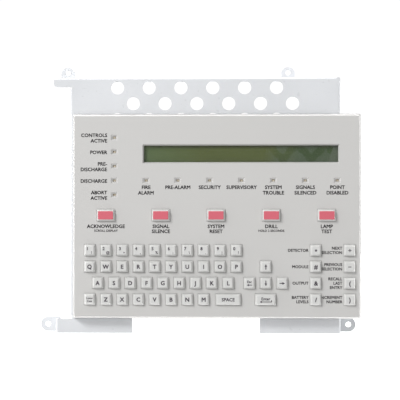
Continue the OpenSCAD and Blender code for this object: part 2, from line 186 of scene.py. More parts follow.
class KeyLooks(PropertyGroup):
    """Sizes and colours of the keys and the function buttons."""

    edge: length("Edge radius", 0.55, "Rounding of a key's upper edges")
    corner: length("Corner radius", 0.8, "Rounding of a key's upright corners")
    dish: length("Dish", 0.16, "Depth of the hollow in a key's top")
    plastic: colour("Plastic", (212, 212, 210), "Colour of the keys")
    pad: colour("Pad", (214, 104, 118), "Colour of the function buttons' pads")


class PrintLooks(PropertyGroup):
    """Sizes and colour of the printed captions and legends."""

    caption: length("Caption height", 2.7, "Height of a capital in the main captions")
    small: length("Small caption height", 2.2, "Height of a capital beside the function keys")
    tiny: length("Note height", 1.7, "Height of a capital in the notes under the buttons")
    legend: length("Legend height", 3.1, "Height of a letter on a key")
    digit: length("Digit height", 2.4, "Height of a digit on a key")
    ink: colour("Ink", (62, 54, 64), "Colour of the print")


class DisplayLooks(PropertyGroup):
    """Colours of the display module."""

    left: colour("Left", (90, 110, 68), "Colour at the display's left end")
    middle: colour("Middle", (86, 96, 44), "Colour at the display's middle")
    right: colour("Right", (58, 78, 40), "Colour at the display's right end")
    clear: share("Window tint", 0.05, "How much the clear window hides")


class MetalLooks(PropertyGroup):
    """Colours of the metal parts."""

    zinc: colour("Zinc", (223, 225, 228), "Colour of the plated chassis")
    steel: colour("Steel", (176, 178, 180), "Colour of the screws")
    brass: colour("Brass", (196, 160, 92), "Colour of the standoffs")
    aluminium: colour("Aluminium", (190, 193, 196), "Colour of the heat sink")


class BoardLooks(PropertyGroup):
    """Colours of the circuit boards and what is on them."""

    mask: colour("Solder mask", (24, 92, 58), "Colour of the boards")
    terminal: colour("Terminals", (44, 140, 92), "Colour of the field terminals")
    sleeve: colour("Capacitor sleeve", (34, 42, 88), "Colour of the capacitors")
    ribbon: colour("Ribbon", (150, 152, 156), "Colour of the ribbon cables")


class StageLooks(PropertyGroup):
    """The camera and the light."""

    distance: FloatProperty(name="Camera distance", description="From the face", default=1.1, unit="LENGTH")
    lens: FloatProperty(name="Lens", description="Focal length in millimetres", default=124.2)
    surround: share("Surround", 0.4, "Strength of the white surround as a light", 4.0)
    rim: share("Rim light", 5.0, "Strength of the surround's bright band, just behind the assembly", 9.0)
    side: share("Side light", 1.6, "Strength of the bright band up and to the left, just in front", 8.0)
    below: share("Light from below", 0.8, "Strength of the light that the pale floor throws up", 4.0)
    lamp: FloatProperty(name="Soft lamp", description="Power of the soft lamp in watts", default=42.0)


GROUPS = {
    "panel_housing": HousingLooks,
    "panel_keys": KeyLooks,
    "panel_print": PrintLooks,
    "panel_display": DisplayLooks,
    "panel_metal": MetalLooks,
    "panel_board": BoardLooks,
    "panel_stage": StageLooks,
}


# Shader node groups, each used by several materials


def new_group(name, inputs, outputs):
    """An empty shader group with its sockets and its two end nodes."""
    group = bpy.data.node_groups.new(name, "ShaderNodeTree")
    for text, kind, value in inputs:
        socket = group.interface.new_socket(text, in_out="INPUT", socket_type=kind)
        socket.default_value = value
    for text, kind in outputs:
        group.interface.new_socket(text, in_out="OUTPUT", socket_type=kind)
    return group, group.nodes.new("NodeGroupInput"), group.nodes.new("NodeGroupOutput")


def noise(tree, scale, detail=3.0, vector=None, scale_from=None):
    """A noise texture in the object's own coordinates."""
    node = tree.nodes.new("ShaderNodeTexNoise")
    node.inputs["Scale"].default_value = scale
    node.inputs["Detail"].default_value = detail
    if vector is None:
        vector = tree.nodes.new("ShaderNodeTexCoord").outputs["Object"]
    tree.links.new(vector, node.inputs["Vector"])
    if scale_from is not None:
        tree.links.new(scale_from, node.inputs["Scale"])
    return node.outputs["Fac"]


def maths(tree, operation, first, second=0.0, third=0.0):
    """One step of arithmetic on links or numbers."""
    node = tree.nodes.new("ShaderNodeMath")
    node.operation = operation
    for socket, value in zip(node.inputs, (first, second, third)):
        if isinstance(value, (int, float)):
            socket.default_value = value
        else:
            tree.links.new(value, socket)
    return node.outputs[0]


def mixed(tree, factor, first, second):
    """A mix of two colours, each a link or a plain colour."""
    node = tree.nodes.new("ShaderNodeMix")
    node.data_type = "RGBA"
    for socket, value in ((node.inputs[0], factor), (node.inputs[6], first), (node.inputs[7], second)):
        if isinstance(value, bpy.types.NodeSocket):
            tree.links.new(value, socket)
        else:
            socket.default_value = value
    return node.outputs[2]


def ranged(tree, value, start, stop, top):
    """A value's rise from nothing at start to top at stop."""
    node = tree.nodes.new("ShaderNodeMapRange")
    node.inputs["From Min"].default_value = start
    node.inputs["From Max"].default_value = stop
    node.inputs["To Max"].default_value = top
    tree.links.new(value, node.inputs["Value"])
    return node.outputs["Result"]


def stretched(tree, scale):
    """The object's coordinates, scaled differently along each axis."""
    node = tree.nodes.new("ShaderNodeMapping")
    node.inputs["Scale"].default_value = scale
    tree.links.new(tree.nodes.new("ShaderNodeTexCoord").outputs["Object"], node.inputs["Vector"])
    return node.outputs["Vector"]


def make_surface_tone():
    """Slow changes of lightness over a surface, with a little grime in the low spots."""
    group, start, end = new_group(
        "surface_tone",
        [
            ("Color", "NodeSocketColor", (0.5, 0.5, 0.5, 1)),
            ("Amount", "NodeSocketFloat", 0.04),
            ("Scale", "NodeSocketFloat", 40.0),
        ],
        [("Color", "NodeSocketColor")],
    )
    slow = noise(group, 40.0, 4.0, scale_from=start.outputs["Scale"])
    fast = noise(group, 1400.0, 2.0)
    swing = maths(group, "ADD", maths(group, "MULTIPLY", slow, 0.75), maths(group, "MULTIPLY", fast, 0.25))
    level = maths(group, "MULTIPLY_ADD", maths(group, "SUBTRACT", swing, 0.5), start.outputs["Amount"], 1.0)
    shade = group.nodes.new("ShaderNodeHueSaturation")
    group.links.new(start.outputs["Color"], shade.inputs["Color"])
    group.links.new(level, shade.inputs["Value"])
    group.links.new(shade.outputs["Color"], end.inputs["Color"])
    return group


def make_fine_grain():
    """A moulded or cast grain, with roughness that follows it."""
    group, start, end = new_group(
        "fine_grain",
        [
            ("Scale", "NodeSocketFloat", 900.0),
            ("Roughness", "NodeSocketFloat", 0.5),
            ("Spread", "NodeSocketFloat", 0.1),
        ],
        [("Height", "NodeSocketFloat"), ("Roughness", "NodeSocketFloat")],
    )
    grain = noise(group, 900.0, 2.0, scale_from=start.outputs["Scale"])
    patch = noise(group, 60.0, 3.0)
    blend = maths(group, "SUBTRACT", maths(group, "ADD", grain, patch), 1.0)
    rough = maths(group, "MULTIPLY_ADD", blend, start.outputs["Spread"], start.outputs["Roughness"])
    group.links.new(grain, end.inputs["Height"])
    group.links.new(rough, end.inputs["Roughness"])
    return group


def make_rolled_metal():
    """Fine rolling lines with a few handling scratches and dull spots."""
    group, start, end = new_group(
        "rolled_metal",
        [
            ("Color", "NodeSocketColor", (0.7, 0.7, 0.7, 1)),
            ("Roughness", "NodeSocketFloat", 0.4),
            ("Wear", "NodeSocketFloat", 0.5),
        ],
        [
            ("Color", "NodeSocketColor"),
            ("Height", "NodeSocketFloat"),
            ("Roughness", "NodeSocketFloat"),
        ],
    )
    lines = noise(group, 1.0, 3.0, stretched(group, (60, 900, 2600)))
    cloud = noise(group, 22.0, 5.0)
    scratch = noise(group, 1.0, 2.0, stretched(group, (160, 800, 1500)))
    spots = maths(group, "GREATER_THAN", noise(group, 260.0, 1.0), 0.74)
    marks = maths(group, "MULTIPLY", maths(group, "GREATER_THAN", scratch, 0.73), start.outputs["Wear"])
    dull = maths(group, "MAXIMUM", marks, maths(group, "MULTIPLY", spots, start.outputs["Wear"]))
    level = maths(group, "MULTIPLY_ADD", maths(group, "SUBTRACT", cloud, 0.5), 0.1, 1.0)
    level = maths(group, "SUBTRACT", level, maths(group, "MULTIPLY", dull, 0.1))
    shade = group.nodes.new("ShaderNodeHueSaturation")
    group.links.new(start.outputs["Color"], shade.inputs["Color"])
    group.links.new(level, shade.inputs["Value"])
    drift = maths(group, "SUBTRACT", cloud, 0.5)
    rough = maths(group, "MULTIPLY_ADD", drift, 0.25, start.outputs["Roughness"])
    rough = maths(group, "ADD", rough, maths(group, "MULTIPLY", dull, 0.15))
    group.links.new(shade.outputs["Color"], end.inputs["Color"])
    group.links.new(maths(group, "ADD", lines, maths(group, "MULTIPLY", marks, -0.6)), end.inputs["Height"])
    group.links.new(rough, end.inputs["Roughness"])
    return group


def node_group(name):
    """A shader group, made the first time that it is asked for."""
    makers = {
        "surface_tone": make_surface_tone,
        "fine_grain": make_fine_grain,
        "rolled_metal": make_rolled_metal,
    }
    return bpy.data.node_groups.get(name) or makers[name]()


def place_group(tree, name, **values):
    """One use of a shader group, with its own values."""
    node = tree.nodes.new("ShaderNodeGroup")
    node.node_tree = node_group(name)
    for text, value in values.items():
        node.inputs[text].default_value = value
    return node


FINISHES = {}


def blank(name, metallic=0.0, coat=0.0, specular=0.5):
    """A material with only its shader, and that shader."""
    material = bpy.data.materials.new(name)
    FINISHES[name] = material
    material.use_nodes = True
    shader = material.node_tree.nodes["Principled BSDF"]
    shader.inputs["Metallic"].default_value = metallic
    shader.inputs["Coat Weight"].default_value = coat
    shader.inputs["Specular IOR Level"].default_value = specular
    return material, shader


def add_bump(tree, shader, height, depth, strength=1.0):
    """Relief of a given depth on the shader's normal."""
    bump = tree.nodes.new("ShaderNodeBump")
    bump.inputs["Distance"].default_value = depth
    bump.inputs["Strength"].default_value = strength
    tree.links.new(height, bump.inputs["Height"])
    tree.links.new(bump.outputs["Normal"], shader.inputs["Normal"])


def moulded(name, rgb, roughness=0.5, amount=0.05, scale=900.0, depth=0.02, spread=0.1, **shader_values):
    """A moulded, painted or printed finish with tone and grain."""
    if name in FINISHES:
        return FINISHES[name]
    material, shader = blank(name, **shader_values)
    tree = material.node_tree
    tone = place_group(tree, "surface_tone", Color=(*rgb, 1), Amount=amount)
    grain = place_group(tree, "fine_grain", Scale=scale, Roughness=roughness, Spread=spread)
    tree.links.new(tone.outputs["Color"], shader.inputs["Base Color"])
    tree.links.new(grain.outputs["Roughness"], shader.inputs["Roughness"])
    add_bump(tree, shader, grain.outputs["Height"], depth * MM)
    return material


def metal(name, rgb, roughness=0.35, wear=0.5, depth=0.01, metallic=1.0):
    """A metal finish with rolling lines and handling marks."""
    if name in FINISHES:
        return FINISHES[name]
    material, shader = blank(name, metallic)
    tree = material.node_tree
    sheet = place_group(tree, "rolled_metal", Color=(*rgb, 1), Roughness=roughness, Wear=wear)
    tree.links.new(sheet.outputs["Color"], shader.inputs["Base Color"])
    tree.links.new(sheet.outputs["Roughness"], shader.inputs["Roughness"])
    add_bump(tree, shader, sheet.outputs["Height"], depth * MM)
    return material


# Mesh work


class Shape:
    """Gathers the points and faces of one piece."""

    def __init__(self):
        self.points = []
        self.faces = []
        self.soft = []

    def ring(self, points):
        """Adds points and returns their numbers."""
        start = len(self.points)
        self.points.extend(Vector(p) for p in points)
        return list(range(start, len(self.points)))

    def face(self, numbers, soft=False):
        self.faces.append(numbers)
        self.soft.append(soft)

    def bridge(self, first, second, soft=True):
        """Joins two rings of the same count."""
        count = len(first)
        for n in range(count):
            m = (n + 1) % count
            self.face([first[n], first[m], second[m], second[n]], soft)

    def bridges(self, rings, soft=True):
        for first, second in zip(rings, rings[1:]):
            self.bridge(first, second, soft)

    def cap(self, ring, soft=False):
        self.face(list(ring), soft)

    def solid(self, rings, soft=True):
        """A closed solid through rings, with a flat cap on each end."""
        self.bridges(rings, soft)
        self.cap(rings[0][::-1])
        self.cap(rings[-1])

    def filled(self, outer, holes):
        """A flat face between an outer ring and the rings of its holes."""
        loops = [outer, *holes]
        numbers = [n for loop in loops for n in loop]
        for triangle in tessellate_polygon([[self.points[n] for n in loop] for loop in loops]):
            self.face([numbers[n] for n in triangle])

    def block(self, low, high, bevel=0.0):
        """A box between two corners, with its rear and front edges chamfered."""
        x, z = (low[0] + high[0]) / 2, (low[2] + high[2]) / 2
        w, h = high[0] - low[0], high[2] - low[2]
        rings = [
            self.ring(oblong(x, z, w - 2 * cut, h - 2 * cut, max(bevel, 0.02 * MM), y, 1))
            for cut, y in (
                (bevel, low[1]),
                (0, low[1] + bevel),
                (0, high[1] - bevel),
                (bevel, high[1]),
            )
        ]
        self.solid(rings if bevel else [rings[0], rings[-1]], False)

    def turned(self, x, z, profile, steps=24, soft=True):
        """A closed solid turned about an axis along Y, from (radius, y) pairs."""
        self.solid([self.ring(round_ring(x, z, r, y, steps)) for r, y in profile], soft)

    def prism(self, outline, y0, y1):
        """A closed solid from an outline on X and Z."""
        self.solid([self.ring([(x, y, z) for x, z in outline]) for y in (y0, y1)], False)

    def add_mesh(self, mesh, matrix):
        """Takes in a whole mesh."""
        start = len(self.points)
        self.points.extend(matrix @ v.co for v in mesh.vertices)
        for polygon in mesh.polygons:
            self.face([start + n for n in polygon.vertices])

    def piece(self, name, body, material, slot=None, stands_for=()):
        """Makes the object, rides it on its body and gives it its finish."""
        mesh = bpy.data.meshes.new(name)
        mesh.from_pydata([tuple(p) for p in self.points], [], self.faces)
        mesh.polygons.foreach_set("use_smooth", self.soft)
        mesh.materials.append(material)
        work = bmesh.new()
        work.from_mesh(mesh)
        bmesh.ops.recalc_face_normals(work, faces=work.faces)
        work.to_mesh(mesh)
        work.free()
        obj = bpy.data.objects.new(name, mesh)
        bpy.context.scene.collection.objects.link(obj)
        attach(obj, body)
        if stands_for:
            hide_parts(*stands_for)
        return obj


def oblong(x, z, w, h, radius, y, steps=4):
    """A rectangle with round corners on the plane y, anticlockwise from the front."""
    points = []
    for quarter, (a, b) in enumerate(((1, -1), (1, 1), (-1, 1), (-1, -1))):
        cx, cz = x + a * (w / 2 - radius), z + b * (h / 2 - radius)
        for n in range(steps + 1):
            angle = math.radians(90 * (quarter - 1 + n / steps))
            points.append((cx + radius * math.cos(angle), y, cz + radius * math.sin(angle)))
    return points


def rectangle(x, z, size, y):
    """A sharp rectangle on the plane y."""
    w, h = size[0] / 2, size[1] / 2
    return [(x - w, y, z - h), (x + w, y, z - h), (x + w, y, z + h), (x - w, y, z + h)]


def round_ring(x, z, radius, y, steps):
    """A circle on the plane y."""
    turn = math.tau / steps
    return [(x + radius * math.cos(n * turn), y, z + radius * math.sin(n * turn)) for n in range(steps)]


def solids(node):
    """The box of each separate solid in a CAD node, from the top down and then from the left."""
    work = bmesh.new()
    work.from_mesh(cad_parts[node].data)
    bmesh.ops.remove_doubles(work, verts=work.verts, dist=1e-6)
    left, boxes = set(work.verts), []
    while left:
        front = [left.pop()]
        found = list(front)
        while front:
            near = {e.other_vert(v) for v in front for e in v.link_edges} & left
            left -= near
            found.extend(near)
            front = list(near)
        low = Vector([min(v.co[n] for v in found) for n in range(3)])
        high = Vector([max(v.co[n] for v in found) for n in range(3)])
        boxes.append((low, high))
    work.free()
    return sorted(boxes, key=lambda b: (-round(b[0].z + b[1].z, 3), b[0].x))


def middle(box):
    return (box[0] + box[1]) / 2


def dress(node, material, edge=0.0):
    """Gives a CAD node its material, and softens its sharp edges with modifiers."""
    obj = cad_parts[node]
    for n in range(max(1, len(obj.material_slots))):
        if n < len(obj.material_slots):
            obj.material_slots[n].material = material
        else:
            obj.data.materials.append(material)
    if edge:
        weld = obj.modifiers.new("Weld", "WELD")
        weld.merge_threshold = 0.002 * MM
        bevel = obj.modifiers.new("Soft edges", "BEVEL")
        bevel.width = edge * MM
        bevel.segments = 2
        bevel.angle_limit = math.radians(40)
        bevel.use_clamp_overlap = True
        normals = obj.modifiers.new("Even normals", "WEIGHTED_NORMAL")
        normals.weight = 100
    return obj


# Lettering


def letter_mesh(text, align="CENTER"):
    """A flat mesh of a word in the plain built-in face, at a size of 1."""
    curve = bpy.data.curves.new("lettering", "FONT")
    curve.body = text
    curve.align_x = align
    curve.extrude = 0.01
    curve.resolution_u = 2
    holder = bpy.data.objects.new("lettering", curve)
    bpy.context.scene.collection.objects.link(holder)
    bpy.context.view_layer.update()
    ready = holder.evaluated_get(bpy.context.evaluated_depsgraph_get())
    mesh = bpy.data.meshes.new_from_object(ready)
    bpy.data.objects.remove(holder)
    bpy.data.curves.remove(curve)
    return mesh


def capital_height():
    """The height of a capital in the built-in face, at a size of 1."""
    mesh = letter_mesh("H")
    return max(v.co.y for v in mesh.vertices)


CAPITAL = capital_height()
INK_T = 0.03 * MM


def write(shape, text, x, z, y, height, align="CENTER", weight=0.04):
    """Sets a word with its capitals' middle at z, as a thin raised print in front of y.

    The strokes are made bold by setting the word four times, a little apart.
    """
    mesh = letter_mesh(text, align)
    size, spread = height / CAPITAL, weight * height
    turn = Matrix(((1, 0, 0, 0), (0, 0, -1, 0), (0, 1, 0, 0), (0, 0, 0, 1)))
    scale = Matrix.Diagonal((size, INK_T / 0.01, size, 1))
    for right, up in ((-1, -1), (1, -1), (1, 1), (-1, 1)):
        place = Matrix.Translation((x + right * spread, y, z - height / 2 + up * spread))
        shape.add_mesh(mesh, place @ scale @ turn)
    bpy.data.meshes.remove(mesh)


def arrow(shape, x, z, y, angle, length_=4.4 * MM, width=0.7 * MM, head=2.1 * MM):
    """A plain arrow that points along an angle on the key's top."""
    half, back = width / 2, length_ / 2
    outline = [
        (-back, -half),
        (back - head, -half),
        (back - head, -head / 2),
        (back, 0),
        (back - head, head / 2),
        (back - head, half),
        (-back, half),
    ]
    c, s = math.cos(math.radians(angle)), math.sin(math.radians(angle))
    shape.prism([(x + a * c - b * s, z + a * s + b * c) for a, b in outline], y - INK_T, y + INK_T)


def bar(shape, x, z, y, w, h):
    """A plain bar of print."""
    outline = [(x + a * w / 2, z + b * h / 2) for a, b in ((-1, -1), (1, -1), (1, 1), (-1, 1))]
    shape.prism(outline, y - INK_T, y + INK_T)


def star(shape, x, z, y, size):
    """A five-pointed star of print."""
    outline = []
    for n in range(10):
        angle, reach = math.radians(90 + 36 * n), size * (0.5 if n % 2 else 1)
        outline.append((x + reach * math.cos(angle), z + reach * math.sin(angle)))
    shape.prism(outline, y - INK_T, y + INK_T)


# Pieces of the front


def face_plane():
    """The Y of the housing's face."""
    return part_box("front_housing")[0].y


def key_places():
    """Each key: its body, its middle on X and Z, and its width and height at the face."""
    places = []
    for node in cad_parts:
        if node.startswith(("key_", "button_")):
            places.append((node, *place_of(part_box(node))))
    for node, letters in LETTER_ROWS.items():
        low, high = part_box(node)
        wide = high.z - low.z
        pitch = (high.x - low.x - wide) / (len(letters) - 1)
        for n in range(len(letters)):
            x = low.x + wide / 2 + n * pitch
            places.append((node, x, (low.z + high.z) / 2, wide - 2 * LIP, wide - 2 * LIP))
    return places


def place_of(box):
    low, high = box
    size = high - low
    return (low.x + high.x) / 2, (low.z + high.z) / 2, size.x - 2 * LIP, size.z - 2 * LIP


def build_housing(looks):
    """The moulded housing: face, openings, drafted sides, hollow inside and bosses."""
    low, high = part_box("front_housing")
    x, z = (low.x + high.x) / 2, (low.z + high.z) / 2
    full = Vector((high.x - low.x, high.z - low.z))
    face = full - Vector((2, 2)) * FACE_INSET
    inner = face - Vector((2, 2)) * WALL
    depth = high.y - low.y
    draft = math.atan2(FACE_INSET, depth)
    shape = Shape()
    rings = []
    for n in range(6):
        angle = (math.pi / 2 - draft) * n / 5
        out = looks.edge * (math.sin(angle) - 1)
        y = low.y + looks.edge * (1 - math.cos(angle))
        grow = (y - low.y) * FACE_INSET / depth
        w, h = face.x + 2 * (out + grow), face.y + 2 * (out + grow)
        rings.append(shape.ring(oblong(x, z, w, h, looks.corner + looks.edge + out, y)))
    corner = looks.corner + looks.edge
    rings.append(shape.ring(oblong(x, z, full.x, full.y, corner, high.y)))
    shape.bridges(rings)
    cavity = [shape.ring(oblong(x, z, *inner, 1 * MM, y)) for y in (high.y, low.y + WALL)]
    shape.bridge(rings[-1], cavity[0], False)
    shape.bridge(*cavity, False)
    front_holes, rear_holes = [], []
    back = low.y + WALL
    for _, kx, kz, w, h in key_places():
        w, h = w + 2 * HOLE_GAP, h + 2 * HOLE_GAP
        wide = shape.ring(oblong(kx, kz, w + 2 * looks.rim, h + 2 * looks.rim, 0.7 * MM, low.y, 3))
        neck = shape.ring(oblong(kx, kz, w, h, 0.5 * MM, low.y + looks.rim, 3))
        end = shape.ring(oblong(kx, kz, w, h, 0.5 * MM, back, 3))
        shape.bridges([wide, neck, end])
        front_holes.append(wide)
        rear_holes.append(end)
    for lamp in lamp_places():
        steps = [(LAMP_WELL, 0), (LAMP_SLOT, LAMP_WELL_DEPTH), (LAMP_SLOT, WALL)]
        well = [shape.ring(rectangle(lamp.x, lamp.z, size, low.y + d)) for size, d in steps]
        shape.bridges(well, False)
        front_holes.append(well[0])
        rear_holes.append(well[-1])
    wx, wz, opening = window_opening()
    bevel = Vector((2, 2)) * WINDOW_BEVEL
    mouth = shape.ring(rectangle(wx, wz, opening + bevel, low.y))
    throat = shape.ring(rectangle(wx, wz, opening, back))
    shape.bridge(mouth, throat, False)
    shape.filled(rings[0], [*front_holes, mouth])
    shape.filled(cavity[1], [*rear_holes, throat])
    add_bosses(shape, back)
    rgb = looks.plastic
    plastic = moulded("housing_plastic", rgb, 0.55, amount=0.03, scale=1500, depth=0.012, spread=0.08)
    return shape.piece("front_housing_shell", STATIC_BODY, plastic, "housing_plastic", ["front_housing"])


def add_bosses(shape, back):
    """A hollow boss for each screw that goes into the housing."""
    for node, gap in (("housing_screws", 1.2 * MM), ("panel_screws", 1.6 * MM)):
        for box in solids(node):
            place = middle(box)
            head_y = box[1].y - (1.8 * MM if node == "housing_screws" else 1.4 * MM)
            end = head_y - gap
            bore = SCREW_BORE / 2 + 0.1 * MM
            tip = min(back + 2 * MM, box[0].y)
            profile = [(BOSS_D / 2, back - 0.05 * MM), (BOSS_D / 2, end), (bore, end), (bore, tip)]
            shape.turned(place.x, place.z, profile)


def lamp_places():
    """The middle of each indicator lamp."""
    return [middle(box) for box in solids("indicator_lamps")]


def window_opening():
    """Middle and size of the clear opening for the display."""
    low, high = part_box("display_window")
    size = Vector((high.x - low.x, high.z - low.z)) - 2 * WINDOW_EDGE
    return (low.x + high.x) / 2, (low.z + high.z) / 2, size


def dish_depth(looks, u, v, w, h):
    """How far a key's top sinks at u, v from its middle, as a share of its size."""
    a, b = min(1, abs(2 * u / w)), min(1, abs(2 * v / h))
    return looks.dish * (1 - a * a) * (1 - b * b)


def add_keycap(shape, looks, x, z, w, h, top, end, dish=True):
    """A hollow keycap: lip, neck, drafted sides, soft edges, top and plunger."""
    face = face_plane()
    edge, corner = looks.edge, looks.corner
    rings = []

    def add(width, height, radius, y):
        rings.append(shape.ring(oblong(x, z, width, height, radius, y)))

    inside = KEY_WALL + TAPER
    add(w - 2 * inside, h - 2 * inside, 0.4 * MM, top + inside)
    add(w - 2 * inside, h - 2 * inside, 0.4 * MM, face + LIP_BACK)
    add(w + 2 * LIP, h + 2 * LIP, 0.5 * MM, face + LIP_BACK)
    add(w + 2 * LIP, h + 2 * LIP, 0.5 * MM, face + LIP_FRONT)
    add(w, h, 0.5 * MM, face + LIP_FRONT)
    add(w, h, 0.5 * MM, face)
    tw, th = w - 2 * TAPER, h - 2 * TAPER
    for n in range(5):
        angle = math.radians(12 + 78 * n / 4)
        cut = edge * (1 - math.cos(angle))
        add(tw - 2 * cut, th - 2 * cut, corner - cut / 2, top + edge * (1 - math.sin(angle)))
    shape.bridges(rings[:4], False)
    shape.bridges(rings[3:])
    shape.cap(rings[0][::-1])
    fw, fh = tw - 2 * edge, th - 2 * edge
    if dish:
        last = rings[-1]
        for f in (0.86, 0.66, 0.42, 0.2):
            points = []
            for px, _, pz in oblong(x, z, fw * f, fh * f, (corner - edge / 2) * f, top):
                points.append((px, top + dish_depth(looks, px - x, pz - z, fw, fh), pz))
            ring = shape.ring(points)
            shape.bridge(last, ring)
            last = ring
        shape.cap(last, True)
    else:
        shape.cap(rings[-1])
    half = PLUNGER / 2
    shape.block((x - half, top + inside - 0.1 * MM, z - half), (x + half, end, z + half), 0.25 * MM)


def key_plastic(looks):
    return moulded("key_plastic", looks.plastic, 0.42, amount=0.03, scale=2200, depth=0.006, spread=0.08)


def build_keys(looks):
    """Every key's cap, one piece for each body."""
    shapes = {}
    for node, x, z, w, h in key_places():
        if node.startswith("button_"):
            continue
        low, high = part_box(node)
        add_keycap(shapes.setdefault(node, Shape()), looks, x, z, w, h, low.y, high.y)
    for node, shape in shapes.items():
        shape.piece(f"{node}_cap", node, key_plastic(looks), "key_plastic", [node])


def build_buttons(looks):
    """The function buttons: a light base with a coloured pad let into its top."""
    pad = moulded("button_pad", looks.pad, 0.4, amount=0.05, scale=1800, depth=0.008, spread=0.08)
    for node, x, z, w, h in key_places():
        if not node.startswith("button_"):
            continue
        low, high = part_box(node)
        base, top = Shape(), Shape()
        add_keycap(base, looks, x, z, w, h, low.y + PAD_T, high.y, False)
        base.piece(f"{node}_base", node, key_plastic(looks), "key_plastic", [node])
        pw, ph = w - PAD_MARGIN.x, h - PAD_MARGIN.y
        edge = 0.25 * MM
        steps = [(0, PAD_T + 0.2 * MM), (0, edge), (0.08 * MM, 0.08 * MM), (edge, 0)]
        rings = [
            top.ring(oblong(x, z, pw - 2 * cut, ph - 2 * cut, 0.45 * MM - cut / 2, low.y + d))
            for cut, d in steps
        ]
        top.solid(rings)
        top.piece(f"{node}_pad", node, pad, "button_red")


def ink(looks):
    return moulded("print_ink", looks.ink, 0.6, amount=0.08, scale=1200, depth=0.002)


def build_legends(keys, looks):
    """The print on the keys, which moves with them."""
    black = ink(looks)
    shapes = {}
    columns = {}
    for node, x, z, w, h in key_places():
        if node.startswith("button_"):
            continue
        shape = shapes.setdefault(node, Shape())
        columns[node] = columns.get(node, -1) + 1
        start = len(shape.points)
        add_legend(shape, looks, node, columns[node], x, z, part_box(node)[0].y)
        tw, th = w - 2 * TAPER - 2 * keys.edge, h - 2 * TAPER - 2 * keys.edge
        for point in shape.points[start:]:
            point.y += dish_depth(keys, point.x - x, point.z - z, tw, th)
    for node, shape in shapes.items():
        shape.piece(f"{node}_legend", node, black, "bezel_black")


def add_legend(shape, looks, node, column, x, z, y):
    """The legend of one key."""
    name = node.removeprefix("key_")
    if node in LETTER_ROWS:
        write(shape, LETTER_ROWS[node][column], x, z, y, looks.legend, weight=0.045)
    elif name in SHIFTED:
        write(shape, name, x - 1.7 * MM, z + 1.35 * MM, y, looks.digit)
        if SHIFTED[name] == "*":
            star(shape, x + 1.6 * MM, z - 1.8 * MM, y, 0.8 * MM)
        else:
            write(shape, SHIFTED[name], x + 1.6 * MM, z - 1.75 * MM, y, 0.85 * looks.digit, weight=0.03)
    elif name == "star":
        star(shape, x, z, y, 1.3 * MM)
    elif name in ("plus", "minus"):
        bar(shape, x, z, y, 2.5 * MM, 0.6 * MM)
        if name == "plus":
            for side in (-1, 1):
                bar(shape, x, z + side * 0.775 * MM, y, 0.6 * MM, 0.95 * MM)
    elif node in SYMBOL_KEYS:
        write(shape, SYMBOL_KEYS[node], x, z, y, 1.05 * looks.legend, weight=0.045)
    elif name == "case":
        write(shape, "Lower", x, z + 1.1 * MM, y, 1.4 * MM)
        write(shape, "Case", x, z - 1.2 * MM, y, 1.4 * MM)
    elif name == "space":
        write(shape, "SPACE", x, z, y, 2.5 * MM)
    elif name == "escape":
        write(shape, "Esc", x, z + 1.2 * MM, y, 1.9 * MM)
        arrow(shape, x, z - 1.4 * MM, y, 180, 4.4 * MM, 0.6 * MM, 1.8 * MM)
    elif name == "enter":
        write(shape, "Enter", x, z + 0.7 * MM, y, 2.2 * MM)
        arrow(shape, x - 0.3 * MM, z - 1.7 * MM, y, 180, 9.2 * MM, 0.6 * MM, 1.8 * MM)
        bar(shape, x + 4.6 * MM, z - 1.2 * MM, y, 0.6 * MM, 1.6 * MM)
    else:
        angles = {"up": 90, "down": 270, "right": 0}
        arrow(shape, x, z, y, angles[name])


def build_captions(looks):
    """The print on the housing's face."""
    shape = Shape()
    y = face_plane()
    lamps = lamp_places()
    column_x = min(lamp.x for lamp in lamps)
    column = [lamp for lamp in lamps if lamp.x < column_x + MM]
    row_z = min(lamp.z for lamp in lamps if lamp.x > column_x + MM)
    row = sorted((lamp for lamp in lamps if lamp.x > column_x + MM), key=lambda lamp: lamp.x)
    line = 4.4 * MM
    for lamp, words in zip(column, COLUMN_CAPTIONS):
        stack(shape, words, column_x - 5.75 * MM, lamp.z - 0.4 * MM, y, looks.caption, line, "RIGHT")
    for lamp, words in zip(row, ROW_CAPTIONS):
        top = row_z - 5.45 * MM - line * (len(words) - 1) / 2
        stack(shape, words, lamp.x, top, y, looks.caption, line, "CENTER")
    for node, (first, second, note) in BUTTON_CAPTIONS.items():
        x, z, _, _ = place_of(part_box(node))
        write(shape, first, x, z - 8.8 * MM, y, looks.caption)
        if second:
            write(shape, second, x, z - 12.8 * MM, y, looks.caption)
        if note:
            write(shape, note, x, z - 12.3 * MM, y, looks.tiny)
    for node, words in KEY_CAPTIONS.items():
        x, z, w, _ = place_of(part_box(node))
        stack(shape, words, x - w / 2 - 1.1 * MM, z, y, looks.small, 3.45 * MM, "RIGHT")
    return shape.piece("face_captions", STATIC_BODY, ink(looks), "bezel_black")


def stack(shape, words, x, z, y, height, line, align):
    """Lines of print, centred on z."""
    first = z + line * (len(words) - 1) / 2
    for n, word in enumerate(words):
        write(shape, word, x, first - n * line, y, height, align)


# Display


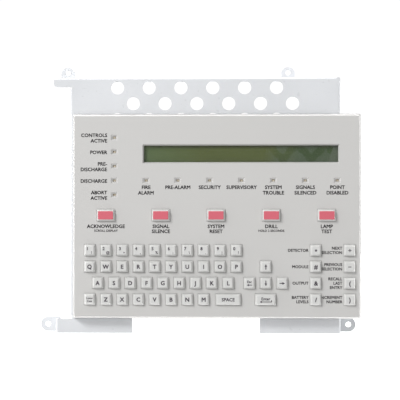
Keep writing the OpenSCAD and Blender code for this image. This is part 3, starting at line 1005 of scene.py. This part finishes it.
def cell_material(looks):
    """The liquid crystal: a green that drifts along its length, with a faint dark frame line, a painted
    shade along its top edge and painted reflections at its right end.
    """
    material, shader = blank("display_green", specular=0.4)
    tree = material.node_tree
    wx, wz, opening = window_opening()
    split = tree.nodes.new("ShaderNodeSeparateXYZ")
    tree.links.new(tree.nodes.new("ShaderNodeTexCoord").outputs["Object"], split.inputs["Vector"])
    along = tree.nodes.new("ShaderNodeMapRange")
    along.inputs["From Min"].default_value = wx - opening.x / 2
    along.inputs["From Max"].default_value = wx + opening.x / 2
    tree.links.new(split.outputs["X"], along.inputs["Value"])
    wobble = noise(tree, 1.0, 2.0, stretched(tree, (55, 1, 22)))
    place = maths(tree, "MULTIPLY_ADD", maths(tree, "SUBTRACT", wobble, 0.5), 0.22, along.outputs["Result"])
    ramp = tree.nodes.new("ShaderNodeValToRGB")
    stops = [(0.0, looks.left), (0.3, looks.middle), (0.62, looks.middle), (0.8, looks.right)]
    for n, (spot, rgb) in enumerate(stops):
        element = ramp.color_ramp.elements[n] if n < 2 else ramp.color_ramp.elements.new(spot)
        element.position = spot
        element.color = (*rgb, 1)
    tree.links.new(place, ramp.inputs["Fac"])
    up = maths(tree, "SUBTRACT", split.outputs["Z"], wz)
    reach = maths(tree, "DIVIDE", up, opening.y)
    # Painted shade: a dark band along the top edge stands in for the shadow of the window's top wall on the
    # cell.
    top = ranged(tree, reach, 0.3, 0.42, 0.35)
    base = mixed(tree, top, ramp.outputs["Color"], (0.1, 0.1, 0.05, 1))
    streaks = ranged(tree, noise(tree, 1.0, 2.0, stretched(tree, (12, 1, 900))), 0.45, 0.7, 0.1)
    base = mixed(tree, streaks, base, (0.3, 0.33, 0.22, 1))
    line = maths(tree, "COMPARE", maths(tree, "ABSOLUTE", reach), 0.41, 0.012)
    base = mixed(tree, maths(tree, "MULTIPLY", line, 0.3), base, (0.03, 0.04, 0.02, 1))
    # Painted reflection: pale greyish zigzag patches over the right part stand in for the surroundings
    # mirrored in the window.
    zigzag = maths(tree, "DIVIDE", maths(tree, "PINGPONG", split.outputs["X"], 11.5 * MM), 11.5 * MM)
    gap = maths(tree, "SUBTRACT", maths(tree, "SUBTRACT", zigzag, reach), 0.5)
    gap = maths(tree, "ADD", gap, maths(tree, "MULTIPLY_ADD", noise(tree, 160.0, 1.0), 0.5, -0.25))
    patch = maths(tree, "ADD", ranged(tree, gap, 0.1, 0.25, 0.3), ranged(tree, gap, -0.4, -0.55, 0.3))
    patch = maths(tree, "MULTIPLY", patch, ranged(tree, along.outputs["Result"], 0.62, 0.68, 1.0))
    base = mixed(tree, patch, base, (0.16, 0.2, 0.15, 1))
    # Painted reflection: a pale grey band with a slanted edge over the right end of the cell.
    slant = maths(tree, "MULTIPLY_ADD", up, -0.32, split.outputs["X"])
    right = wx + opening.x / 2
    end = ranged(tree, slant, right - 6.0 * MM, right - 5.3 * MM, 0.85)
    final = mixed(tree, end, base, (0.12, 0.145, 0.1, 1))
    tree.links.new(final, shader.inputs["Base Color"])
    grain = place_group(tree, "fine_grain", Scale=600.0, Roughness=0.3, Spread=0.06)
    tree.links.new(grain.outputs["Roughness"], shader.inputs["Roughness"])
    dots = tree.nodes.new("ShaderNodeTexBrick")
    dots.offset = 0.0
    dots.inputs["Scale"].default_value = 1.0
    dots.inputs["Brick Width"].default_value = 3.7 * MM
    dots.inputs["Row Height"].default_value = 5.6 * MM
    dots.inputs["Mortar Size"].default_value = 0.25 * MM
    swap = tree.nodes.new("ShaderNodeCombineXYZ")
    tree.links.new(split.outputs["X"], swap.inputs["X"])
    tree.links.new(split.outputs["Z"], swap.inputs["Y"])
    tree.links.new(swap.outputs["Vector"], dots.inputs["Vector"])
    add_bump(tree, shader, dots.outputs["Fac"], 0.02 * MM)
    return material


def window_material(looks):
    """The clear window, which hides little and shines."""
    material, shader = blank("clear_window", specular=0.6)
    tree = material.node_tree
    shader.inputs["Alpha"].default_value = looks.clear
    tone = place_group(tree, "surface_tone", Color=(0.3, 0.34, 0.32, 1), Amount=0.1)
    tree.links.new(tone.outputs["Color"], shader.inputs["Base Color"])
    grain = place_group(tree, "fine_grain", Scale=300.0, Roughness=0.06, Spread=0.04)
    tree.links.new(grain.outputs["Roughness"], shader.inputs["Roughness"])
    return material


# Rear details


def board_material(name, looks):
    """Solder mask over copper: a dark green with slightly paler tracks."""
    if name in FINISHES:
        return FINISHES[name]
    material, shader = blank(name, coat=0.25)
    tree = material.node_tree
    split = tree.nodes.new("ShaderNodeSeparateXYZ")
    tree.links.new(tree.nodes.new("ShaderNodeTexCoord").outputs["Object"], split.inputs["Vector"])
    tracks = None
    for first, second, size in (("X", "Z", (7 * MM, 1.27 * MM)), ("Z", "X", (11 * MM, 2.54 * MM))):
        flat = tree.nodes.new("ShaderNodeCombineXYZ")
        tree.links.new(split.outputs[first], flat.inputs["X"])
        tree.links.new(split.outputs[second], flat.inputs["Y"])
        brick = tree.nodes.new("ShaderNodeTexBrick")
        brick.inputs["Scale"].default_value = 1.0
        brick.inputs["Brick Width"].default_value = size[0]
        brick.inputs["Row Height"].default_value = size[1]
        brick.inputs["Mortar Size"].default_value = 0.16 * MM
        tree.links.new(flat.outputs["Vector"], brick.inputs["Vector"])
        fac = brick.outputs["Fac"]
        tracks = fac if tracks is None else maths(tree, "MAXIMUM", tracks, fac)
    area = maths(tree, "GREATER_THAN", noise(tree, 38.0, 1.0), 0.5)
    copper = maths(tree, "MULTIPLY", tracks, maths(tree, "MULTIPLY_ADD", area, 0.6, 0.4))
    tone = place_group(tree, "surface_tone", Color=(*looks.mask, 1), Amount=0.15)
    paler = tuple(min(1, c * 1.7 + 0.01) for c in looks.mask)
    base = mixed(tree, copper, tone.outputs["Color"], (*paler, 1))
    tree.links.new(base, shader.inputs["Base Color"])
    grain = place_group(tree, "fine_grain", Scale=500.0, Roughness=0.3, Spread=0.1)
    tree.links.new(grain.outputs["Roughness"], shader.inputs["Roughness"])
    add_bump(tree, shader, copper, 0.03 * MM)
    return material


def board_rear():
    """The Y of the control board's rear face."""
    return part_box("control_board")[1].y


def add_lead(shape, x, z, dx, dz, y, rise, width):
    """One bent chip lead that leaves a package at x, z and steps down to the board."""
    t, reach = 0.15 * MM, 1.1 * MM
    line = [(-0.2 * MM, rise), (0.3 * MM, rise), (0.55 * MM, t), (reach, t)]
    side = Vector((dz, 0, dx)) * width / 2
    rings = []
    for out, up in line:
        at = Vector((x + dx * out, y + up, z + dz * out))
        back = Vector((0, t, 0))
        rings.append(shape.ring([at - side, at + side, at + side - back, at - side - back]))
    shape.solid(rings, False)


def build_leads():
    """The leads of the processor and of the logic chips."""
    shape = Shape()
    y = board_rear()
    for node in ("processor", "logic_chips"):
        for box in solids(node):
            low, high = box
            size = high - low
            four = node == "processor"
            pitch = (0.8 if four else 1.27) * MM
            for along, across, sides in ((0, 2, four or size.x > size.z), (2, 0, four or size.z >= size.x)):
                if not sides:
                    continue
                count = int((size[along] - 1.2 * MM) / pitch)
                for n in range(count + 1):
                    spot = middle(box)[along] + (n - count / 2) * pitch
                    for sign, edge in ((-1, low[across]), (1, high[across])):
                        x, z = (spot, edge) if along == 0 else (edge, spot)
                        dx, dz = (0, sign) if along == 0 else (sign, 0)
                        add_lead(shape, x, z, dx, dz, y, 1.1 * MM, 0.45 * pitch)
    tin = metal("tinned_leads", (0.62, 0.63, 0.62), 0.3, 0.2)
    shape.piece("chip_leads", STATIC_BODY, tin, "screw_steel")


def build_chip_marks():
    """The round dot by the first lead of each chip."""
    shape = Shape()
    for node in ("processor", "logic_chips"):
        for low, high in solids(node):
            x, z, y = low.x + 1.6 * MM, high.z - 1.6 * MM, high.y
            shape.turned(x, z, [(0.55 * MM, y - 0.05 * MM), (0.55 * MM, y + 0.02 * MM)], 16, False)
    mark = moulded("chip_mark", (0.12, 0.12, 0.12), 0.6)
    shape.piece("chip_marks", STATIC_BODY, mark, "chip_black")


def free_spots(margin):
    """Points on a grid over the control board that no component stands on."""
    low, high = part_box("control_board")
    taken = []
    nodes = "processor logic_chips field_terminals relays capacitors heat_sink cell_holder sounder fuses"
    for node in nodes.split() + ["standoffs", "ribbon_connectors"]:
        taken.extend(solids(node))
    pitch = 4.6 * MM
    spots = []
    for i in range(int((high.x - low.x) / pitch)):
        for k in range(int((high.z - low.z) / pitch)):
            x, z = low.x + (i + 0.7) * pitch, low.z + (k + 0.7) * pitch
            clear = all(
                x < a.x - margin or x > b.x + margin or z < a.z - margin or z > b.z + margin
                for a, b in taken
            )
            if clear and high.x - x > margin and high.z - z > margin:
                spots.append((x, z))
    return spots


def build_small_parts():
    """Surface-mounted resistors and capacitors, with their soldered ends."""
    picker = random.Random(7)
    dark, pale, ends = Shape(), Shape(), Shape()
    y = board_rear()
    for x, z in free_spots(3.2 * MM):
        if picker.random() < 0.45:
            continue
        level = picker.random() < 0.6
        body = dark if picker.random() < 0.6 else pale
        half, wide, tall = 1.0 * MM, 0.65 * MM, (0.5 if body is dark else 0.9) * MM
        spans = ((body, -0.7, 0.7, 0.0), (ends, -1, -0.65, 0.04), (ends, 0.65, 1, 0.04))
        for part, start, stop, grow in spans:
            a, b, w = start * half, stop * half, wide + grow * MM
            low = (x + a, y, z - w) if level else (x - w, y, z + a)
            high = (x + b, y + tall + grow * MM, z + w) if level else (x + w, y + tall + grow * MM, z + b)
            part.block(low, high, 0.06 * MM)
    dark.piece("resistors", STATIC_BODY, moulded("resistor_black", (0.02, 0.02, 0.02), 0.4), "chip_black")
    pale.piece("ceramic_capacitors", STATIC_BODY, moulded("ceramic", (0.42, 0.3, 0.18), 0.5), "chip_black")
    tin = metal("tinned_leads", (0.62, 0.63, 0.62), 0.3, 0.2)
    ends.piece("soldered_ends", STATIC_BODY, tin, "screw_steel")


def build_terminal_screws():
    """A slotted screw in each way of the field terminals."""
    shape = Shape()
    ways = 6
    for low, high in solids("field_terminals"):
        pitch = (high.x - low.x) / ways
        z, y = (low.z + high.z) / 2 + 0.5 * MM, high.y - 3.2 * MM
        for n in range(ways):
            x = low.x + (n + 0.5) * pitch
            r, slot, deep = 1.75 * MM, 0.25 * MM, 0.6 * MM
            shape.turned(x, z, [(r, y - 1.2 * MM), (r, y - deep)], 20, False)
            for side in (-1, 1):
                half = []
                for m in range(11):
                    angle = math.asin(slot / r) + (math.pi - 2 * math.asin(slot / r)) * m / 10
                    half.append((x + r * math.cos(angle), z + side * r * math.sin(angle)))
                shape.prism(half, y - deep - 0.01 * MM, y)
    steel = metal("bright_screws", (0.66, 0.67, 0.68), 0.28, 0.3)
    shape.piece("terminal_screws", STATIC_BODY, steel, "screw_steel")


def build_capacitors(looks):
    """Electrolytic capacitors: a sleeved can with a rolled groove and a scored top."""
    sleeve, tops, stripes = Shape(), Shape(), Shape()
    for box in solids("capacitors"):
        place, (low, high) = middle(box), box
        r = (high.x - low.x) / 2
        y0, y1 = low.y, high.y
        turn = 0.5 * MM
        profile = [
            (r - turn, y0),
            (r, y0 + turn),
            (r, y0 + 1.6 * MM),
            (r - 0.45 * MM, y0 + 2.1 * MM),
            (r, y0 + 2.6 * MM),
            (r, y1 - 0.9 * MM),
            (r - 0.3 * MM, y1 - 0.3 * MM),
            (r - 0.9 * MM, y1 - 0.1 * MM),
            (r - 1.0 * MM, y1 - 0.35 * MM),
        ]
        sleeve.turned(place.x, place.z, profile, 32)
        disc = r - 0.95 * MM
        rim = [(disc, y1 - 0.4 * MM), (disc, y1 - 0.2 * MM), (disc - 0.2 * MM, y1 - 0.15 * MM)]
        tops.turned(place.x, place.z, rim, 32)
        for along in (0, 1):
            w, h = (disc, 0.2 * MM) if along else (0.2 * MM, disc)
            low_c = (place.x - w * 0.7, y1 - 0.2 * MM, place.z - h * 0.7)
            tops.block(low_c, (place.x + w * 0.7, y1 - 0.11 * MM, place.z + h * 0.7))
        rings = []
        for y in (y0 + 2.7 * MM, y1 - 1.0 * MM):
            points = []
            for extra in (-0.05 * MM, 0.03 * MM):
                for n in range(7):
                    a = math.radians(150 + 10 * (n if extra < 0 else 6 - n))
                    reach = r + extra
                    points.append((place.x + reach * math.cos(a), y, place.z + reach * math.sin(a)))
            rings.append(stripes.ring(points))
        stripes.solid(rings, False)
    vinyl = moulded("capacitor_sleeve", looks.sleeve, 0.3, amount=0.08)
    sleeve.piece("capacitor_sleeves", STATIC_BODY, vinyl, "capacitor_sleeve", ["capacitors"])
    bare = metal("bare_can", (0.7, 0.71, 0.72), 0.3, 0.3)
    tops.piece("capacitor_tops", STATIC_BODY, bare, "cell_steel")
    stripe = moulded("capacitor_stripe", (0.6, 0.62, 0.66), 0.35)
    stripes.piece("capacitor_stripes", STATIC_BODY, stripe, "capacitor_sleeve")


def build_fuses():
    """Glass fuses: tube, end caps and a pair of sprung clips each."""
    glass, caps, clips = Shape(), Shape(), Shape()
    y = board_rear()
    lie = Matrix.Rotation(math.radians(90), 4, "Z")
    for low, high in solids("fuses"):
        x, z = (low.x + high.x) / 2, (low.z + high.z) / 2
        r = 2.6 * MM
        axis = high.y - r
        half = (high.x - low.x) / 2

        def along(shape, profile):
            rings = []
            for radius, spot in profile:
                flat = [lie @ Vector((a, spot, c)) for a, _, c in round_ring(0, 0, radius, 0, 20)]
                rings.append(shape.ring([Vector((p.x + x, p.y + axis, p.z + z)) for p in flat]))
            shape.solid(rings)

        along(glass, [(r * 0.86, -half * 0.7), (r * 0.86, half * 0.7)])
        for side in (-1, 1):
            a, b = side * half * 0.68, side * half
            along(caps, [(r * 0.95, a), (r, a + side * 0.15 * MM), (r, b - side * 0.3 * MM), (r * 0.9, b)])
            cx = x + side * 7.5 * MM
            t, w = 0.35 * MM, 2 * MM
            clips.block((cx - w, y, z - 3.2 * MM), (cx + w, y + t, z + 3.2 * MM))
            for edge in (-1, 1):
                a, b = z + edge * 3.2 * MM, z + edge * (3.2 * MM - t)
                clips.block((cx - w, y, min(a, b)), (cx + w, axis + 0.8 * MM, max(a, b)))
        along(caps, [(0.12 * MM, -half * 0.7), (0.12 * MM, half * 0.7)])
    clear, shader = blank("fuse_glass", specular=0.6)
    shader.inputs["Alpha"].default_value = 0.3
    tone = place_group(clear.node_tree, "surface_tone", Color=(0.75, 0.8, 0.8, 1), Amount=0.1)
    clear.node_tree.links.new(tone.outputs["Color"], shader.inputs["Base Color"])
    shader.inputs["Roughness"].default_value = 0.05
    glass.piece("fuse_tubes", STATIC_BODY, clear, "fuse_glass", ["fuses"])
    plated = metal("plated_caps", (0.7, 0.7, 0.68), 0.25, 0.2)
    caps.piece("fuse_caps", STATIC_BODY, plated, "screw_steel")
    clips.piece("fuse_clips", STATIC_BODY, plated, "screw_steel")


def ribbon_section(width, thick, wires):
    """Half-round humps on both sides of a flat cable, as (across, out) pairs."""
    pitch = width / wires
    side = []
    for n in range(wires):
        for k in range(4):
            angle = math.pi * k / 4
            across = -width / 2 + (n + 0.5) * pitch - math.cos(angle) * pitch / 2
            side.append((across, thick * (0.3 + 0.2 * math.sin(angle))))
    side.append((width / 2, 0.3 * thick))
    return side + [(a, -o) for a, o in reversed(side)]


def build_ribbons(looks):
    """The two ribbon cables, with a ridge for each wire."""
    shape = Shape()
    boxes = sorted(solids("ribbon_cables"), key=lambda b: b[0].x - b[1].x)
    (low, high), (start, stop) = boxes
    thick, bend = 0.9 * MM, 2 * MM
    x, z = (low.x + high.x) / 2, high.z - thick / 2
    drop = high.y - thick / 2
    radius = bend + thick / 2
    line = [((low.y, z), 0.0)]
    for n in range(9):
        a = math.radians(90 * n / 8)
        line.append(((drop - radius + radius * math.sin(a), z - radius + radius * math.cos(a)), a))
    line.append(((drop, low.z), math.pi / 2))
    rings = []
    for (y, up), a in line:
        outward = Vector((0, math.sin(a), math.cos(a)))
        at = Vector((x, y, up))
        section = ribbon_section(high.x - low.x, thick, 20)
        rings.append(shape.ring([at + Vector((across, 0, 0)) + outward * out for across, out in section]))
    shape.solid(rings)
    jy = (start.y + stop.y) / 2
    rings = []
    for edge in (start.x, stop.x):
        section = ribbon_section(stop.z - start.z, stop.y - start.y, 14)
        jz = (start.z + stop.z) / 2
        rings.append(shape.ring([(edge, jy + out, jz + across) for across, out in section]))
    shape.solid(rings)
    grey = moulded("ribbon_grey", looks.ribbon, 0.45, amount=0.06)
    return shape.piece("ribbon_cable_pair", STATIC_BODY, grey, "ribbon_grey", ["ribbon_cables"])


def build_solder():
    """Solder joints on the rear of the panel boards, behind the lamps and the keys."""
    shape = Shape()
    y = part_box("keypad_board")[1].y
    spots = [(p.x + side * 1.27 * MM, p.z) for p in lamp_places() for side in (-1, 1)]
    spots += [(x + a * MM, z - 3 * MM) for _, x, z, _, _ in key_places() for a in (-1.5, 1.5)]
    for x, z in spots:
        fillet = [(0.75 * MM, y - 0.02 * MM), (0.5 * MM, y + 0.3 * MM), (0.2 * MM, y + 0.7 * MM)]
        shape.turned(x, z, fillet, 12)
    tin = metal("tinned_leads", (0.62, 0.63, 0.62), 0.3, 0.2)
    shape.piece("solder_joints", STATIC_BODY, tin, "screw_steel")


# Operators


BEHIND = (0.18, 0.17)  # middle and half width of the bright band behind the assembly
BEFORE = (-0.17, 0.17)  # the same for the band in front of it
SEEN_WHITE = 1.05  # strength of the surround as the camera sees it
LAMP_SIZE = 0.9
LAMP_OFFSET = Vector((-1.35, -1.9, 1.35))
EYE_OFFSET = (0.0213, 0.0049)
AIM_OFFSET = (-0.013, 0.0129)


class FIREPANEL_OT_stage(Operator):
    """Sets the camera, the floor and the soft light"""

    bl_idname = "firepanel.stage"
    bl_label = "Stage"

    def execute(self, context):
        scene, looks = context.scene, context.scene.panel_stage
        scene.view_settings.view_transform = "Standard"
        low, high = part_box("front_housing")
        face = Vector(((low.x + high.x) / 2, low.y, (low.z + high.z) / 2))
        eye = face + Vector((EYE_OFFSET[0], -looks.distance, EYE_OFFSET[1]))
        aim = face + Vector((AIM_OFFSET[0], 0, AIM_OFFSET[1]))
        camera = bpy.data.objects.new("camera", bpy.data.cameras.new("camera"))
        camera.data.lens = looks.lens
        camera.location = eye
        camera.rotation_euler = (aim - eye).to_track_quat("-Z", "Y").to_euler()
        scene.collection.objects.link(camera)
        scene.camera = camera
        self.light_surround(scene, looks)
        self.hang_lamp(scene, face, looks.lamp)
        self.lay_floor(scene)
        return {"FINISHED"}

    def light_surround(self, scene, looks):
        """A white surround that shows as plain white, with a bright band just behind the assembly."""
        world = bpy.data.worlds.new("surround")
        world.use_nodes = True
        scene.world = world
        tree = world.node_tree
        back = tree.nodes["Background"]
        back.inputs["Color"].default_value = (1, 1, 1, 1)
        split = tree.nodes.new("ShaderNodeSeparateXYZ")
        tree.links.new(tree.nodes.new("ShaderNodeTexCoord").outputs["Generated"], split.inputs["Vector"])
        band = maths(tree, "COMPARE", split.outputs["Y"], *BEHIND)
        front = maths(tree, "COMPARE", split.outputs["Y"], *BEFORE)
        upper_left = maths(tree, "SUBTRACT", split.outputs["Z"], split.outputs["X"])
        front = maths(tree, "MULTIPLY", front, maths(tree, "MAXIMUM", upper_left, 0.0))
        light = maths(tree, "MULTIPLY_ADD", band, looks.rim, looks.surround)
        light = maths(tree, "MULTIPLY_ADD", front, 0.7 * looks.side, light)
        under = maths(tree, "MAXIMUM", maths(tree, "MULTIPLY", split.outputs["Z"], -1.0), 0.0)
        light = maths(tree, "MULTIPLY_ADD", under, looks.below, light)
        seen = tree.nodes.new("ShaderNodeLightPath").outputs["Is Camera Ray"]
        shown = maths(tree, "MULTIPLY", maths(tree, "SUBTRACT", SEEN_WHITE, light), seen)
        tree.links.new(maths(tree, "ADD", light, shown), back.inputs["Strength"])

    def hang_lamp(self, scene, face, power):
        """One large soft lamp, above and to the left."""
        light = bpy.data.lights.new("soft_lamp", "AREA")
        light.shape = "DISK"
        light.size = LAMP_SIZE
        light.energy = power
        lamp = bpy.data.objects.new("soft_lamp", light)
        lamp.location = face + LAMP_OFFSET
        lamp.rotation_euler = (face - lamp.location).to_track_quat("-Z", "Y").to_euler()
        scene.collection.objects.link(lamp)

    def lay_floor(self, scene):
        """A pale floor a little below the assembly."""
        half, drop = 4.0, 0.06
        mesh = bpy.data.meshes.new("floor")
        z = cad_low.z - drop
        corners = [(-half, -half, z), (half, -half, z), (half, half, z), (-half, half, z)]
        mesh.from_pydata(corners, [], [[0, 1, 2, 3]])
        floor = bpy.data.objects.new("floor", mesh)
        scene.collection.objects.link(floor)
        pale = moulded("pale_floor", (0.6, 0.6, 0.6), 0.9, amount=0.0, depth=0.0)
        shader = pale.node_tree.nodes["Principled BSDF"]
        shader.inputs["Emission Color"].default_value = (1, 1, 1, 1)
        seen = pale.node_tree.nodes.new("ShaderNodeLightPath").outputs["Is Camera Ray"]
        pale.node_tree.links.new(seen, shader.inputs["Emission Strength"])
        mesh.materials.append(pale)
        floor.visible_diffuse = False
        floor.visible_glossy = False


class FIREPANEL_OT_chassis(Operator):
    """Finishes the plated chassis"""

    bl_idname = "firepanel.chassis"
    bl_label = "Chassis"

    def execute(self, context):
        zinc = metal("zinc_steel", context.scene.panel_metal.zinc, 0.42, 0.7, 0.012, 0.1)
        dress("chassis", zinc)
        return {"FINISHED"}


class FIREPANEL_OT_housing(Operator):
    """Makes the moulded front housing"""

    bl_idname = "firepanel.housing"
    bl_label = "Front housing"

    def execute(self, context):
        build_housing(context.scene.panel_housing)
        return {"FINISHED"}


class FIREPANEL_OT_display(Operator):
    """Finishes the display module behind its window"""

    bl_idname = "firepanel.display"
    bl_label = "Display"

    def execute(self, context):
        looks = context.scene.panel_display
        dress("display_cell", cell_material(looks))
        dress("display_window", window_material(looks))
        dress("display_bezel", moulded("bezel_black", (0.02, 0.021, 0.022), 0.4))
        dress("display_backlight", moulded("light_guide", (0.62, 0.7, 0.5), 0.35))
        return {"FINISHED"}


class FIREPANEL_OT_lamps(Operator):
    """Finishes the indicator lamps"""

    bl_idname = "firepanel.lamps"
    bl_label = "Indicator lamps"

    def execute(self, context):
        resin = moulded("lamp_resin", (0.8, 0.72, 0.58), 0.25, amount=0.1, scale=400, coat=0.4)
        shader = resin.node_tree.nodes["Principled BSDF"]
        # Painted light: a faint warm glow makes the unlit lenses look brighter.
        shader.inputs["Emission Color"].default_value = (1.0, 0.84, 0.6, 1)
        shader.inputs["Emission Strength"].default_value = 0.12
        dress("indicator_lamps", resin)
        return {"FINISHED"}


class FIREPANEL_OT_keys(Operator):
    """Makes the keycaps"""

    bl_idname = "firepanel.keys"
    bl_label = "Keys"

    def execute(self, context):
        build_keys(context.scene.panel_keys)
        return {"FINISHED"}


class FIREPANEL_OT_buttons(Operator):
    """Makes the function buttons with their coloured pads"""

    bl_idname = "firepanel.buttons"
    bl_label = "Function buttons"

    def execute(self, context):
        build_buttons(context.scene.panel_keys)
        return {"FINISHED"}


class FIREPANEL_OT_lettering(Operator):
    """Prints the keys' legends and the face's captions"""

    bl_idname = "firepanel.lettering"
    bl_label = "Lettering"

    def execute(self, context):
        scene = context.scene
        build_legends(scene.panel_keys, scene.panel_print)
        build_captions(scene.panel_print)
        return {"FINISHED"}


class FIREPANEL_OT_boards(Operator):
    """Finishes the boards, the keymat and the parts on the control board"""

    bl_idname = "firepanel.boards"
    bl_label = "Boards"

    def execute(self, context):
        looks, metals = context.scene.panel_board, context.scene.panel_metal
        for node in ("display_board", "keypad_board", "control_board"):
            dress(node, board_material("circuit_board", looks))
        dress("keymat", moulded("keymat_silicone", (0.42, 0.43, 0.44), 0.65, coat=0.05))
        chip = moulded("chip_black", (0.022, 0.022, 0.024), 0.5, amount=0.2, scale=1800, depth=0.01)
        dress("processor", chip, 0.25)
        dress("logic_chips", chip, 0.25)
        shell = moulded("relay_shell", (0.028, 0.03, 0.034), 0.35, scale=1400)
        dress("relays", shell, 0.5)
        dress("field_terminals", moulded("terminal_green", looks.terminal, 0.4, scale=1400), 0.2)
        black = moulded("connector_black", (0.025, 0.025, 0.026), 0.45)
        for node in ("ribbon_connectors", "cell_holder", "sounder"):
            dress(node, black, 0.3)
        dress("heat_sink", metal("heat_sink_metal", metals.aluminium, 0.4, 0.3), 0.15)
        dress("backup_cell", metal("cell_steel", (0.72, 0.73, 0.74), 0.25, 0.4, 0.006), 0.3)
        build_leads()
        build_chip_marks()
        build_small_parts()
        build_terminal_screws()
        build_capacitors(looks)
        build_fuses()
        build_ribbons(looks)
        build_solder()
        return {"FINISHED"}


class FIREPANEL_OT_fasteners(Operator):
    """Finishes the screws and the standoffs"""

    bl_idname = "firepanel.fasteners"
    bl_label = "Fasteners"

    def execute(self, context):
        metals = context.scene.panel_metal
        steel = metal("screw_steel", metals.steel, 0.3, 0.4)
        for node in ("panel_screws", "housing_screws", "board_screws"):
            dress(node, steel, 0.12)
        dress("standoffs", metal("standoff_brass", metals.brass, 0.32, 0.3), 0.15)
        return {"FINISHED"}


class FIREPANEL_PT_build(Panel):
    """Lists the steps that build the assembly"""

    bl_label = "Fire panel"
    bl_space_type = "VIEW_3D"
    bl_region_type = "UI"
    bl_category = "Fire panel"

    def draw(self, context):
        for operator in OPERATORS:
            self.layout.operator(operator.bl_idname)


OPERATORS = (
    FIREPANEL_OT_stage,
    FIREPANEL_OT_chassis,
    FIREPANEL_OT_housing,
    FIREPANEL_OT_display,
    FIREPANEL_OT_lamps,
    FIREPANEL_OT_keys,
    FIREPANEL_OT_buttons,
    FIREPANEL_OT_lettering,
    FIREPANEL_OT_boards,
    FIREPANEL_OT_fasteners,
)


def register():
    for group in GROUPS.values():
        bpy.utils.register_class(group)
    for name, group in GROUPS.items():
        setattr(bpy.types.Scene, name, PointerProperty(type=group))
    for operator in (*OPERATORS, FIREPANEL_PT_build):
        bpy.utils.register_class(operator)


def unregister():
    for operator in reversed((*OPERATORS, FIREPANEL_PT_build)):
        bpy.utils.unregister_class(operator)
    for name in GROUPS:
        delattr(bpy.types.Scene, name)
    for group in reversed(list(GROUPS.values())):
        bpy.utils.unregister_class(group)


def main():
    register()
    for operator in OPERATORS:
        space, name = operator.bl_idname.split(".")
        getattr(getattr(bpy.ops, space), name)()


if __name__ == "__main__":
    main()
